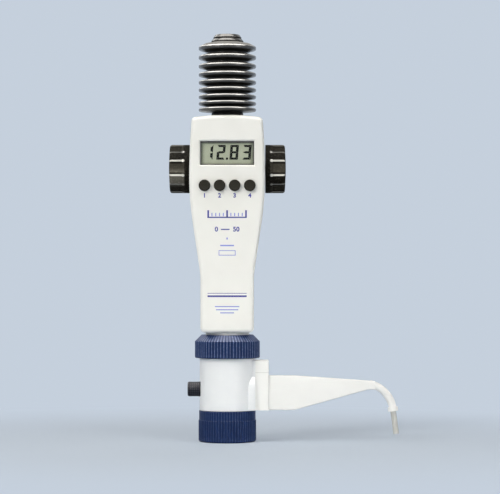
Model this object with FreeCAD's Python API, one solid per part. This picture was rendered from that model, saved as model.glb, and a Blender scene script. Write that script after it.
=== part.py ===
import FreeCAD, Part
import math
import os

# Digital burette that screws on a bottle. Millimetres, +Z up, the display faces -Y.
# The origin is on the main axis, at the open lower end of the bottle nut.

# Clearances and small values that many pieces share
overrun = 1.0
turning_gap = 0.3
running_fit = 0.05
joint_gap = 0.1
ball_gap = 0.02
same_radius_share = 0.000001

# Bottle nut
nut_wall = 3.65
nut_height = 28.4
nut_band_height = 9.1
nut_band_inset = 0.5
nut_edge_radius = 2.2
thread_radius = 22.5
thread_length = 12.0
thread_relief = 0.5
nut_top_wall = 4.0

# Valve block
block_shoulder = 3.2
block_height = 47.1
block_neck_height = 12.2
block_pad_proud = 0.3
block_pad_half_width = 12.0
block_arch_half_width = 16.5
block_arch_root_x = 12.0
spigot_inset = 5.5
spigot_foot = 1.2
swivel_groove_depth = 2.0
swivel_ring_inset = 2.0
swivel_ring_height = 3.4
gasket_inset = 2.5
gasket_height = 2.0

# Filling valve on the main axis
fitting_radius = 7.0
nipple_radius = 3.5
nipple_length = 4.9
fill_bore_radius = 1.5
seat_height = 3.0
seat_hole_radius = 1.8
fill_ball_radius = 3.2
fill_ball_travel = 2.5
ball_side_gap = 0.9
ball_head_gap = 0.6

# Discharge valve beside it
outlet_x = 17.0
outlet_drop_x = 10.0
outlet_bore_radius = 1.0
outlet_seat_hole_radius = 1.2
outlet_seat_drop = 6.9
outlet_feed_drop = 5.0
outlet_ball_radius = 2.5
outlet_ball_travel = 2.5

# Stopcock with its side knob
stopcock_rise = 19.0
plug_radius = 3.6
plug_reach = 5.0
stem_radius = 2.4
gland_radius = 5.5
gland_depth = 4.0
side_knob_radius = 6.9
side_knob_length = 11.6
side_knob_edge = 1.2
side_knob_socket = 7.0
plug_seal_width = 1.8
plug_seal_depth = 0.9

# Coupling nut and the sleeve that it clamps
coupling_wall = 7.2
coupling_height = 21.0
coupling_chamfer = 6.0
coupling_foot_radius = 1.0
coupling_top_wall = 4.0
sleeve_wall = 3.0
sleeve_flange = 2.1
sleeve_flange_height = 4.7
sleeve_catch = 0.5
sleeve_catch_height = 2.7

# Glass cylinder and piston
glass_bore_radius = 13.7
glass_wall = 2.8
glass_length = 107.5
glass_seal_height = 2.0
piston_height = 14.0
piston_side_gap = 0.3
piston_rest_height = 30.0
piston_seal_height = 3.0
piston_seal_depth = 1.6
piston_stroke_down = 27.0
piston_stroke_up = 58.0

# Housing: front cover and rear cover
housing_rise = 2.2
housing_head_room = 9.3
housing_crown = 2.4
housing_foot_rim = 4.5
housing_side_room = 3.7
housing_top_draw = 2.2
housing_wide_drop = 8.2
housing_flare_angle = 8.5
housing_flare_radius = 280.0
housing_waist_radius = 60.0
housing_wall = 2.5
housing_edge_radius = 3.5
housing_corner_radius = 4.5
inner_edge_radius = 1.0
inner_corner_radius = 1.5

# Case screws and their bosses
case_screw_radius = 1.2
case_head_radius = 2.1
case_head_height = 1.6
low_boss_radius = 2.2
mid_boss_radius = 3.0
top_boss_radius = 2.5
boss_sink = 0.5
low_screw_rise = 12.7
mid_screw_drop = 5.0
top_screw_drop = 5.9
mid_screw_inset = 7.9
top_screw_inset = 4.7
case_screw_reach = 8.0

# Display, circuit board and buttons
window_half_width = 24.3
window_rise = 2.1
window_height = 21.6
window_bevel = 1.2
pane_rim = 2.0
pane_thickness = 1.2
module_rim = 1.3
module_thickness = 2.6
strip_height = 2.0
strip_inset = 2.5
strip_thickness = 2.2
board_side_rim = 2.0
board_foot = 1.0
board_thickness = 1.6
button_count = 4
button_drop = 18.3
button_pitch = 13.6
button_radius = 5.0
button_proud = 3.2
button_edge = 0.5
button_hole_gap = 0.3
button_flange_radius = 6.1
button_flange_thickness = 1.0
button_stem_radius = 2.0
button_travel = 1.2
button_stem_gap = 0.4
dome_radius = 3.0
dome_height = 1.7
board_post_radius = 3.0
board_post_inset = 2.7
board_post_low_gap = 0.9
board_post_high_gap = 3.1
board_screw_radius = 1.2
board_screw_head_radius = 2.1
board_screw_head_height = 1.5
board_screw_reach = 5.0
spacer_length = 3.4

# Drive frame
frame_plate = 2.5
frame_side_rim = 1.7
frame_top_rim = 1.0
cheek_room = 0.25
cheek_rim = 0.5
cheek_rise = 13.8
frame_skirt_wall = 2.0
frame_skirt_height = 6.0
guide_shelf_rise = 21.8
guide_shelf_half = 10.0
guide_shelf_back = 8.0
rod_guide_gap = 0.3

# Drive shaft, pinion and rack
wheel_axis_rise = 48.7
pinion_teeth = 12
gear_module = 1.0
gear_backlash = 0.12
gear_root_share = 1.25
pinion_width = 8.0
rack_half_width = 4.0
rack_front = 5.0
rack_pitch_y = 2.5
rack_tooth_angle = 20.0
rack_spare_teeth = 2
shaft_radius = 3.0
bush_radius = 5.0
bush_flange_radius = 6.5
bush_flange = 1.2
clip_thickness = 0.8
clip_radius = 5.0
clip_groove = 0.6
clip_gap = 0.2
pad_height = 20.0
pad_half_width = 5.0
pad_thickness = 2.95

# Encoder
encoder_radius = 13.0
encoder_thickness = 1.5
encoder_gap = 0.15
encoder_hub_radius = 5.5
encoder_slots = 24
encoder_slot_depth = 4.0
encoder_slot_width = 1.4
encoder_slot_rim = 1.2
sensor_half_depth = 3.5
sensor_width = 4.8
sensor_foot = 5.8
sensor_overlap = 4.8
sensor_gap = 0.4

# Hand wheels
wheel_radius = 22.05
wheel_length = 18.6
wheel_gap = 0.4
wheel_edge_radius = 2.0
wheel_crown = 0.9
wheel_rim = 3.2
wheel_hub_radius = 7.5
wheel_face = 5.5
wheel_flutes = 6
wheel_flute_radius = 20.0
wheel_flute_depth = 2.2
wheel_flute_start = 4.1
wheel_flute_nose = 3.0
wheel_cap_radius = 8.0
wheel_cap_thickness = 1.3
wheel_screw_radius = 1.5
wheel_screw_head_radius = 2.8
wheel_screw_head = 2.2
wheel_screw_reach = 8.0
wheel_web = 1.6

# Battery compartment
cell_radius = 5.25
cell_length = 44.5
cell_side_inset = 8.0
cell_rise = 4.0
cell_back_room = 3.8
cell_nub_radius = 1.9
cell_nub_height = 1.0
tray_wall = 0.9
tray_side_inset = 1.1
tray_gap = 2.3
tray_end_room = 1.4
contact_half = 4.0
contact_thickness = 0.4
lid_half_width = 20.0
lid_rise = 1.5
lid_head_room = 4.5
lid_thickness = 1.5
lid_gap = 0.3
lid_ledge = 2.6
lid_grip_radius = 5.0
lid_grip_depth = 0.7

# Bellows
bellows_ribs = 9
bellows_radius = 26.2
bellows_valley_radius = 18.3
bellows_first_pitch = 5.6
bellows_pitch_growth = 0.4
bellows_lip = 2.4
bellows_valley_flat = 1.4
bellows_fold = 0.8
bellows_wall = 1.1
bellows_end_radius = 14.7
bellows_first_rise = 2.2
bellows_last_rise = 5.5
bellows_top_wall = 1.2
base_ring_height = 3.6
top_ring_height = 3.1
end_cap_radius = 12.75
end_cap_height = 3.9
end_cap_edge = 0.8
rod_spigot_radius = 2.5
rod_spigot_length = 5.0
top_hole_radius = 9.0

# Discharge arm
arm_block_depth = 12.2
arm_block_rise = 0.2
arm_block_height = 34.2
arm_lock_height = 11.0
arm_block_edge = 1.4
arm_lock_tongue = 3.0
arm_lock_tongue_half = 5.0
arm_root_height = 31.0
arm_root_length = 23.3
arm_tip_reach = 10.4
arm_tip_rise = 2.0
arm_belly_reach = 3.4
arm_belly_drop = 5.7
arm_root_half = 9.0
arm_tip_half = 4.6
arm_wall = 1.6
arm_edge = 1.2
arm_clamp_length = 14.0
tube_radius = 1.6
tube_bore_radius = 0.8
tube_rise = 24.0
tube_straight = 86.2
bend_radius = 26.9
bend_end_angle = 7.5
jacket_radius = 3.5
jacket_start_angle = 78.0
collar_radius = 4.6
collar_length = 3.6
nozzle_radius = 2.6
nozzle_length = 22.5
nozzle_bore_radius = 0.5

# Radii that follow from the thread and from the glass cylinder
nut_radius = thread_radius + nut_wall
block_spigot_radius = thread_radius - spigot_inset
swivel_groove_radius = block_spigot_radius - swivel_groove_depth
swivel_ring_radius = thread_radius - swivel_ring_inset
gasket_radius = thread_radius - gasket_inset
glass_radius = glass_bore_radius + glass_wall
sleeve_radius = glass_radius + joint_gap + sleeve_wall
sleeve_flange_radius = sleeve_radius + sleeve_flange
sleeve_catch_radius = sleeve_radius + sleeve_catch
block_neck_radius = sleeve_flange_radius + turning_gap
block_radius = block_neck_radius + block_shoulder
coupling_radius = block_neck_radius + turning_gap + coupling_wall

# Heights of the valves and the arm, from the bottle nut up
block_low_z = nut_height + turning_gap
block_high_z = block_low_z + block_height
block_neck_z = block_high_z + block_neck_height
swivel_groove_high_z = nut_height - nut_top_wall - turning_gap
swivel_groove_low_z = swivel_groove_high_z - swivel_ring_height
spigot_low_z = swivel_groove_low_z - spigot_foot
fill_seat_low_z = block_low_z + seat_height
fill_chamber_low_z = fill_seat_low_z + seat_height
stopcock_z = block_low_z + stopcock_rise
arm_block_low_z = block_low_z + arm_block_rise
arm_block_split_z = arm_block_low_z + arm_block_height
arm_block_high_z = arm_block_split_z + arm_lock_height
arm_root_high_z = arm_block_low_z + arm_root_height
tube_z = arm_block_low_z + tube_rise
outlet_seat_top = tube_z - outlet_seat_drop

# Heights of the cylinder, the drive and the bellows above them
coupling_low_z = block_high_z + turning_gap
coupling_high_z = coupling_low_z + coupling_height
housing_low_z = coupling_high_z + housing_rise
low_screw_z = housing_low_z + low_screw_rise
glass_low_z = block_neck_z + glass_seal_height
glass_high_z = glass_low_z + glass_length
frame_low_z = glass_high_z + glass_seal_height
piston_low_z = glass_low_z + piston_rest_height
piston_high_z = piston_low_z + piston_height
wheel_axis_z = frame_low_z + wheel_axis_rise
housing_wide_z = wheel_axis_z - housing_wide_drop
cheek_high_z = wheel_axis_z + cheek_rise
guide_shelf_z = wheel_axis_z + guide_shelf_rise
sensor_low_z = wheel_axis_z - encoder_radius - sensor_gap - sensor_foot
sensor_high_z = wheel_axis_z - encoder_radius + sensor_overlap
window_low_z = wheel_axis_z + window_rise
window_high_z = window_low_z + window_height
button_z = window_low_z - button_drop
board_post_low_z = button_z - button_flange_radius - board_post_low_gap - board_post_radius
board_post_high_z = window_high_z + pane_rim + board_post_high_gap + board_post_radius
board_low_z = board_post_low_z - board_post_radius - board_foot
board_high_z = board_post_high_z + board_post_radius
mid_screw_z = board_low_z - mid_screw_drop
frame_high_z = board_high_z + frame_top_rim
housing_side_top_z = frame_high_z + housing_head_room
top_screw_z = housing_side_top_z - top_screw_drop
housing_top_z = housing_side_top_z + housing_crown
bellows_low_z = housing_top_z + base_ring_height
lid_low_z = frame_low_z + lid_rise
cell_low_z = lid_low_z + cell_rise
lid_high_z = cell_low_z + cell_length + lid_head_room

# Gears
pinion_pitch_radius = gear_module * pinion_teeth / 2
shaft_y = rack_pitch_y + pinion_pitch_radius
rack_pitch = math.pi * gear_module
rack_tip_y = rack_pitch_y + gear_module
rack_root_y = rack_pitch_y - gear_root_share * gear_module

# Depths, from the rack forward to the front wall and back to the battery lid
frame_back = -(rack_front + running_fit + pad_thickness)
frame_front = frame_back - frame_plate
board_back = frame_front - spacer_length
board_front = board_back - board_thickness
module_back = board_front - strip_thickness
pane_back = module_back - module_thickness
wall_back = pane_back - pane_thickness
housing_front = housing_wall - wall_back
cheek_back = shaft_y + bush_radius + cheek_rim
tray_front = cheek_back + tray_gap
cell_y = tray_front + tray_wall + cell_radius
housing_back = cell_y + cell_radius + cell_back_room + lid_thickness

# Half widths, from the window out to the housing, and from the cylinder out to the frame's cheeks
board_half_width = window_half_width + board_side_rim
board_post_x = board_half_width - board_post_inset
frame_half_width = board_half_width + frame_side_rim
housing_wide_half = frame_half_width + housing_side_room + housing_wall
housing_top_half = housing_wide_half - housing_top_draw
housing_low_half = sleeve_radius + housing_foot_rim
mid_screw_x = housing_wide_half - mid_screw_inset
top_screw_x = housing_top_half - top_screw_inset
cheek_outer_x = glass_radius + frame_skirt_wall + cheek_room + frame_plate
encoder_x = cheek_outer_x + bush_flange + encoder_gap
tray_half_width = lid_half_width - tray_side_inset
cell_x = lid_half_width - cell_side_inset

# Lengths along the arm
block_pad_x = block_radius + block_pad_proud
arm_block_x = block_pad_x + arm_block_depth
arm_bend_x = arm_block_x + arm_root_length
bend_x = arm_block_x + tube_straight
arm_high_end_x = bend_x + arm_tip_reach
arm_high_end_z = tube_z + arm_tip_rise
arm_low_end_x = bend_x + arm_belly_reach
arm_low_end_z = tube_z - arm_belly_drop


def vec(x, y, z):
    return FreeCAD.Vector(x, y, z)


up = vec(0, 0, 1)
right = vec(1, 0, 0)
back = vec(0, 1, 0)


def post(radius, low_z, high_z, x=0, y=0):
    """Upright cylinder."""
    return Part.makeCylinder(radius, high_z - low_z, vec(x, y, low_z), up)


def bar(radius, low_x, high_x, y, z):
    """Cylinder along X."""
    return Part.makeCylinder(radius, high_x - low_x, vec(low_x, y, z), right)


def peg(radius, low_y, high_y, x, z):
    """Cylinder along Y."""
    return Part.makeCylinder(radius, high_y - low_y, vec(x, low_y, z), back)


def block(x, y, z):
    """Box between pairs of limits on each axis."""
    return Part.makeBox(x[1] - x[0], y[1] - y[0], z[1] - z[0], vec(x[0], y[0], z[0]))


def ring(outer, inner, low_z, high_z, x=0, y=0):
    return post(outer, low_z, high_z, x, y).cut(post(inner, low_z - overrun, high_z + overrun, x, y))


def turned(points):
    """Solid turned about the Z axis from a closed outline of (radius, z) points."""
    corners = [vec(r, 0, z) for r, z in points]
    face = Part.Face(Part.makePolygon(corners + corners[:1]))
    return face.revolve(vec(0, 0, 0), up, 360)


def prism(points, direction):
    """Straight solid from a closed outline of points."""
    return Part.Face(Part.makePolygon(points + points[:1])).extrude(direction)


def joined(first, *others):
    shape = first
    for other in others:
        shape = shape.fuse(other)
    return shape.removeSplitter()


def bored(shape, *cutters):
    for cutter in cutters:
        shape = shape.cut(cutter)
    return shape


def edges_where(shape, test):
    return [edge for edge in shape.Edges if test(edge)]


def circle_edges(shape, radius, z):
    """Full circles of one radius about the main axis at one height."""
    def on_circle(edge):
        curve = edge.Curve
        if not isinstance(curve, Part.Circle):
            return False
        level = abs(curve.Center.z - z) < Part.Precision.confusion() * overrun
        return level and math.isclose(curve.Radius, radius, rel_tol=same_radius_share)
    return edges_where(shape, on_circle)


def save(name, *solids):
    shape = solids[0] if len(solids) == 1 else Part.makeCompound(list(solids))
    shape.exportStep("parts/" + name + ".step")


def mirrored(shape):
    return shape.mirror(vec(0, 0, 0), right)


# Bottle nut and the valve block that turns in it

def bottle_nut():
    band_z = nut_height - nut_band_height
    inside_top = nut_height - nut_top_wall
    body = turned([
        (0, 0), (nut_radius, 0), (nut_radius, band_z), (nut_radius - nut_band_inset, band_z + nut_band_inset),
        (nut_radius - nut_band_inset, nut_height), (0, nut_height)])
    body = body.makeFillet(nut_edge_radius, circle_edges(body, nut_radius, 0))
    thread = post(thread_radius, -overrun, thread_length + overrun)
    relief = post(thread_radius + thread_relief, thread_length, inside_top)
    mouth = post(block_spigot_radius + turning_gap, inside_top - overrun, nut_height + overrun)
    save("bottle_nut", bored(body, thread, relief, mouth))


def valve_block():
    body = post(block_radius, block_low_z, block_high_z)
    pad_x = (outlet_x, block_pad_x)
    pad_y = (-block_pad_half_width, block_pad_half_width)
    pad = block(pad_x, pad_y, (arm_block_low_z, arm_block_high_z))
    arch_x = (block_arch_root_x, block_radius)
    arch_y = (-block_arch_half_width, block_arch_half_width)
    arch = joined(
        block(arch_x, arch_y, (arm_block_low_z, stopcock_z)),
        bar(block_arch_half_width, arch_x[0], arch_x[1], 0, stopcock_z))
    spigot = turned([
        (0, spigot_low_z), (block_spigot_radius, spigot_low_z), (block_spigot_radius, swivel_groove_low_z),
        (swivel_groove_radius, swivel_groove_low_z), (swivel_groove_radius, swivel_groove_high_z),
        (block_spigot_radius, swivel_groove_high_z), (block_spigot_radius, block_low_z), (0, block_low_z)])
    neck = post(block_neck_radius, block_high_z, block_neck_z)
    body = joined(body, pad, arch, spigot, neck)
    chamber_radius = fill_ball_radius + ball_side_gap
    fill = [
        post(fitting_radius, spigot_low_z - overrun, fill_chamber_low_z),
        post(chamber_radius, fill_chamber_low_z - overrun, fill_chamber_top()),
        post(fill_bore_radius, fill_chamber_top() - overrun, block_neck_z + overrun)]
    feed_z = outlet_seat_top - seat_height - outlet_feed_drop / 2
    outlet_chamber = outlet_ball_radius + ball_side_gap
    outlet = [
        post(outlet_bore_radius, feed_z, block_neck_z + overrun, outlet_drop_x),
        bar(outlet_bore_radius, outlet_drop_x, outlet_x, 0, feed_z),
        post(outlet_bore_radius, feed_z, outlet_seat_top, outlet_x),
        post(outlet_chamber, outlet_seat_top - seat_height, outlet_chamber_top(), outlet_x),
        bar(outlet_bore_radius, outlet_x, block_pad_x + overrun, 0, tube_z)]
    gland_x = -block_radius + gland_depth
    stopcock = [
        bar(plug_radius + running_fit, gland_x - overrun, plug_reach + joint_gap, 0, stopcock_z),
        bar(gland_radius, -block_radius - overrun, gland_x, 0, stopcock_z)]
    flat_x = (-block_radius - overrun, -block_radius + flat_depth())
    half = side_knob_radius + turning_gap
    flat = block(flat_x, (-half, half), (stopcock_z - half, stopcock_z + half))
    save("valve_block", bored(body, *fill, *outlet, *stopcock, flat))


def flat_depth():
    """Depth of the small flat that the side knob turns against."""
    half = side_knob_radius + turning_gap
    return block_radius - math.sqrt(block_radius ** 2 - half ** 2)


def fill_chamber_top():
    return fill_ball_z() + fill_ball_radius + fill_ball_travel + ball_head_gap


def fill_ball_z():
    rise = math.sqrt(fill_ball_radius ** 2 - seat_hole_radius ** 2)
    return fill_chamber_low_z + rise + ball_gap


def outlet_ball_z():
    rise = math.sqrt(outlet_ball_radius ** 2 - outlet_seat_hole_radius ** 2)
    return outlet_seat_top + rise + ball_gap


def outlet_chamber_top():
    return outlet_ball_z() + outlet_ball_radius + outlet_ball_travel + ball_head_gap


def swivel_and_gasket():
    catch = ring(swivel_ring_radius, swivel_groove_radius, swivel_groove_low_z, swivel_groove_high_z)
    save("swivel_ring", catch)
    save("bottle_gasket", ring(gasket_radius, fitting_radius, spigot_low_z - gasket_height, spigot_low_z))


def filling_valve():
    low_z = spigot_low_z - gasket_height
    nipple_z = low_z - nipple_length
    fitting = joined(post(fitting_radius, low_z, fill_chamber_low_z), post(nipple_radius, nipple_z, low_z))
    bore = post(fill_bore_radius, nipple_z - overrun, fill_seat_low_z + overrun)
    seat_hole = post(seat_hole_radius, fill_seat_low_z, fill_chamber_low_z + overrun)
    save("intake_fitting", bored(fitting, bore, seat_hole))
    save("intake_ball", Part.makeSphere(fill_ball_radius, vec(0, 0, fill_ball_z())))


def discharge_valve():
    radius = outlet_ball_radius + ball_side_gap
    low_z = outlet_seat_top - seat_height
    save("outlet_seat", ring(radius, outlet_seat_hole_radius, low_z, outlet_seat_top, outlet_x))
    save("outlet_ball", Part.makeSphere(outlet_ball_radius, vec(outlet_x, 0, outlet_ball_z())))


def stopcock():
    gland_x = -block_radius + gland_depth
    knob_x = -block_radius + flat_depth() - turning_gap
    plug = bar(plug_radius, gland_x + joint_gap, plug_reach, 0, stopcock_z)
    stem = bar(stem_radius, knob_x - side_knob_socket, gland_x + overrun, 0, stopcock_z)
    port = post(fill_bore_radius, stopcock_z - plug_radius - overrun, stopcock_z + plug_radius + overrun)
    seal_x = gland_x + plug_seal_width
    seal_limits = (seal_x, seal_x + plug_seal_width)
    groove = tube_x(plug_radius + overrun, plug_radius - plug_seal_depth, seal_limits, stopcock_z)
    save("stopcock_plug", bored(joined(plug, stem), port, groove))
    outer = plug_radius + running_fit / 2
    save("stopcock_seal", tube_x(outer, plug_radius - plug_seal_depth, seal_limits, stopcock_z))
    gland_limits = (-block_radius + flat_depth(), gland_x)
    save("stopcock_gland", tube_x(gland_radius, stem_radius + running_fit, gland_limits, stopcock_z))
    knob = bar(side_knob_radius, knob_x - side_knob_length, knob_x, 0, stopcock_z)
    rims = edges_where(knob, lambda edge: edge.CenterOfMass.x < knob_x - side_knob_length / 2 and
                       isinstance(edge.Curve, Part.Circle))
    knob = knob.makeFillet(side_knob_edge, rims)
    socket = bar(stem_radius, knob_x - side_knob_socket, knob_x + overrun, 0, stopcock_z)
    save("side_knob", knob.cut(socket))


def tube_x(outer, inner, limits, z, y=0):
    """Ring about an axis along X."""
    bore = bar(inner, limits[0] - overrun, limits[1] + overrun, y, z)
    return bar(outer, limits[0], limits[1], y, z).cut(bore)


# Coupling nut, sleeve, glass cylinder and piston

def coupling_nut():
    shoulder = coupling_high_z - coupling_chamfer
    body = turned([
        (0, coupling_low_z), (coupling_radius, coupling_low_z), (coupling_radius, shoulder),
        (coupling_radius - coupling_chamfer, coupling_high_z), (0, coupling_high_z)])
    body = body.makeFillet(coupling_foot_radius, circle_edges(body, coupling_radius, coupling_low_z))
    ceiling_z = coupling_high_z - coupling_top_wall
    bore = post(block_neck_radius + turning_gap, coupling_low_z - overrun, ceiling_z)
    mouth = post(sleeve_radius + turning_gap, coupling_low_z, coupling_high_z + overrun)
    save("coupling_nut", bored(body, bore, mouth))


def neck_sleeve():
    catch_low = housing_low_z + housing_wall
    outline = [
        (glass_radius + joint_gap, block_neck_z), (sleeve_flange_radius, block_neck_z),
        (sleeve_flange_radius, block_neck_z + sleeve_flange_height),
        (sleeve_radius, block_neck_z + sleeve_flange_height), (sleeve_radius, catch_low),
        (sleeve_catch_radius, catch_low), (sleeve_catch_radius, catch_low + sleeve_catch_height),
        (glass_radius + joint_gap, catch_low + sleeve_catch_height)]
    save("neck_sleeve", turned(outline))


def glass_and_piston():
    save("glass_cylinder", ring(glass_radius, glass_bore_radius, glass_low_z, glass_high_z))
    low_seal = ring(glass_radius, glass_bore_radius, block_neck_z, glass_low_z)
    high_seal = ring(glass_radius, glass_bore_radius, glass_high_z, frame_low_z)
    save("cylinder_seals", low_seal, high_seal)
    radius = glass_bore_radius - piston_side_gap
    seal_low = piston_low_z + piston_seal_height
    groove = ring(radius + overrun, radius - piston_seal_depth, seal_low, seal_low + piston_seal_height)
    socket = post(rod_spigot_radius, piston_high_z - rod_spigot_length, piston_high_z + overrun)
    save("piston", bored(post(radius, piston_low_z, piston_high_z), groove, socket))
    seal_high = seal_low + piston_seal_height
    seal = ring(glass_bore_radius - running_fit, radius - piston_seal_depth, seal_low, seal_high)
    save("piston_seal", seal)


def rack_rod():
    """Square rod with a straight toothed rack on its rear face, a spigot at each end."""
    high_z = bellows_high_z() - bellows_top_wall
    reach_low = wheel_axis_z - piston_stroke_up - rack_spare_teeth * rack_pitch
    reach_high = wheel_axis_z + piston_stroke_down + rack_spare_teeth * rack_pitch
    rod = block((-rack_half_width, rack_half_width), (-rack_front, rack_root_y), (piston_high_z, high_z))
    land_y = (rack_root_y, rack_tip_y)
    lands = []
    for low, high in ((piston_high_z, reach_low), (reach_high, high_z)):
        lands.append(block((-rack_half_width, rack_half_width), land_y, (low, high)))
    slope = math.tan(math.radians(rack_tooth_angle))
    half_pitch_tooth = rack_pitch / 4 - gear_backlash / 2
    half_tip = half_pitch_tooth - gear_module * slope
    half_root = half_pitch_tooth + (rack_pitch_y - rack_root_y) * slope
    teeth = []
    first = math.ceil((reach_low - wheel_axis_z) / rack_pitch)
    last = math.floor((reach_high - wheel_axis_z) / rack_pitch)
    for index in range(first, last):
        z = wheel_axis_z + (index + 1 / 2) * rack_pitch
        corners = [(rack_root_y, z - half_root), (rack_tip_y, z - half_tip), (rack_tip_y, z + half_tip),
                   (rack_root_y, z + half_root)]
        outline = [vec(-rack_half_width, y, place) for y, place in corners]
        teeth.append(prism(outline, right * (rack_half_width * 2)))
    low_spigot = post(rod_spigot_radius, piston_high_z - rod_spigot_length, piston_high_z + overrun)
    high_spigot = post(rod_spigot_radius, high_z - overrun, high_z + rod_spigot_length)
    save("rack_rod", joined(rod, *lands, *teeth, low_spigot, high_spigot))


# Housing

def flare(low_half, wide_half, inset):
    """Points and arcs of one side from the foot to the widest height, as (across, z) pairs."""
    angle = math.radians(housing_flare_angle)
    low = low_half - inset
    wide = wide_half - inset
    convex = housing_flare_radius - inset
    concave = housing_waist_radius + inset
    line_end = (wide - convex * (1 - math.cos(angle)), housing_wide_z - convex * math.sin(angle))
    corner_z = line_end[1] - (line_end[0] - low) / math.tan(angle)
    reach = concave * math.tan(angle / 2)
    line_start = (low + reach * math.sin(angle), corner_z + reach * math.cos(angle))
    waist = (low, corner_z - reach)
    waist_middle = (low + concave * (1 - math.cos(angle / 2)), waist[1] + concave * math.sin(angle / 2))
    flare_middle = (wide - convex * (1 - math.cos(angle / 2)), housing_wide_z - convex * math.sin(angle / 2))
    return waist, waist_middle, line_start, line_end, flare_middle, (wide, housing_wide_z)


def head_outline(inset):
    """Front outline of the housing, foot to crown, mirrored about the main axis."""
    foot_z = housing_low_z + inset
    waist, waist_mid, start, end, flare_mid, widest = flare(housing_low_half, housing_wide_half, inset)
    shoulder_z = housing_side_top_z - inset
    rise = housing_side_top_z - housing_wide_z
    fall = housing_wide_half - housing_top_half
    big = (rise ** 2 + fall ** 2) / (2 * fall) - inset
    shoulder_rise = shoulder_z - housing_wide_z
    shoulder = (widest[0] - big + math.sqrt(big ** 2 - shoulder_rise ** 2), shoulder_z)
    middle_rise = shoulder_rise / 2
    shoulder_mid = (widest[0] - big + math.sqrt(big ** 2 - middle_rise ** 2), housing_wide_z + middle_rise)
    crown = vec(0, 0, housing_top_z - inset)

    def side(sign):
        def at(pair):
            return vec(sign * pair[0], 0, pair[1])
        return [
            Part.LineSegment(at((waist[0], foot_z)), at(waist)),
            Part.Arc(at(waist), at(waist_mid), at(start)),
            Part.LineSegment(at(start), at(end)), Part.Arc(at(end), at(flare_mid), at(widest)),
            Part.Arc(at(widest), at(shoulder_mid), at(shoulder))]

    foot = Part.LineSegment(vec(-waist[0], 0, foot_z), vec(waist[0], 0, foot_z))
    top = Part.Arc(vec(-shoulder[0], 0, shoulder[1]), crown, vec(shoulder[0], 0, shoulder[1]))
    curves = side(1) + side(-1) + [foot, top]
    edges = Part.sortEdges([curve.toShape() for curve in curves])[0]
    return Part.Face(Part.Wire(edges))


def depth_outline(inset):
    """Side outline of the housing: flat front, flared back."""
    waist, waist_mid, start, end, flare_mid, widest = flare(housing_low_half, housing_back, inset)

    def at(pair):
        return vec(0, pair[0], pair[1])
    front = -(housing_front - inset)
    low_z = housing_low_z - overrun
    high_z = housing_top_z + overrun
    curves = [
        Part.LineSegment(at((front, low_z)), at((waist[0], low_z))),
        Part.LineSegment(at((waist[0], low_z)), at(waist)), Part.Arc(at(waist), at(waist_mid), at(start)),
        Part.LineSegment(at(start), at(end)), Part.Arc(at(end), at(flare_mid), at(widest)),
        Part.LineSegment(at(widest), at((widest[0], high_z))),
        Part.LineSegment(at((widest[0], high_z)), at((front, high_z))),
        Part.LineSegment(at((front, high_z)), at((front, low_z)))]
    return Part.Face(Part.Wire([curve.toShape() for curve in curves]))


def is_sharp(shape, edge):
    """True where the two faces beside an edge meet at a clear angle."""
    faces = shape.ancestorsOfType(edge, Part.Face)
    if len(faces) < 2:
        return False
    point = edge.valueAt((edge.FirstParameter + edge.LastParameter) / 2)
    normals = [face.normalAt(*face.Surface.parameter(point)) for face in faces]
    return normals[0].getAngle(normals[1]) > math.radians(housing_flare_angle * 2)


def housing_solid(inset, corner_radius, edge_radius):
    """The housing's outer form, or with an inset the space inside its wall."""
    front = -(housing_front + overrun)
    depth = housing_front + housing_back + overrun * 2
    outline = head_outline(inset)
    outline.translate(vec(0, front, 0))
    width = housing_wide_half + overrun
    side = depth_outline(inset)
    side.translate(vec(-width, 0, 0))
    solid = outline.extrude(back * depth).common(side.extrude(right * (width * 2)))
    solid = solid.Solids[0]
    sharp = [edge for edge in solid.Edges if is_sharp(solid, edge)]
    corners = [edge for edge in sharp if edge.BoundBox.YLength > housing_front]
    solid = solid.makeFillet(corner_radius, corners)
    sharp = [edge for edge in solid.Edges if is_sharp(solid, edge)]
    return solid.makeFillet(edge_radius, sharp)


def screw_places():
    """Case screws as (x, z, boss radius), right side then left."""
    low_x = housing_low_half - housing_wall - low_boss_radius + boss_sink
    places = []
    for sign in (1, -1):
        places.append((sign * low_x, low_screw_z, low_boss_radius))
        places.append((sign * mid_screw_x, mid_screw_z, mid_boss_radius))
        places.append((sign * top_screw_x, top_screw_z, top_boss_radius))
    return places


def rear_wall_y(z):
    """Outer face of the rear cover on the middle plane at a height."""
    waist, waist_mid, start, end, flare_mid, widest = flare(housing_low_half, housing_back, 0)
    if z >= housing_wide_z:
        return housing_back
    if z >= end[1]:
        drop = housing_wide_z - z
        return housing_back - housing_flare_radius + math.sqrt(housing_flare_radius ** 2 - drop ** 2)
    if z >= start[1]:
        return start[0] + (z - start[1]) * math.tan(math.radians(housing_flare_angle))
    return housing_low_half


def case_screw(x, z):
    head_y = rear_wall_y(z) - case_head_height
    shank = peg(case_screw_radius, -case_screw_reach, head_y + joint_gap, x, z)
    return joined(shank, peg(case_head_radius, head_y - case_head_height, head_y, x, z))


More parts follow.
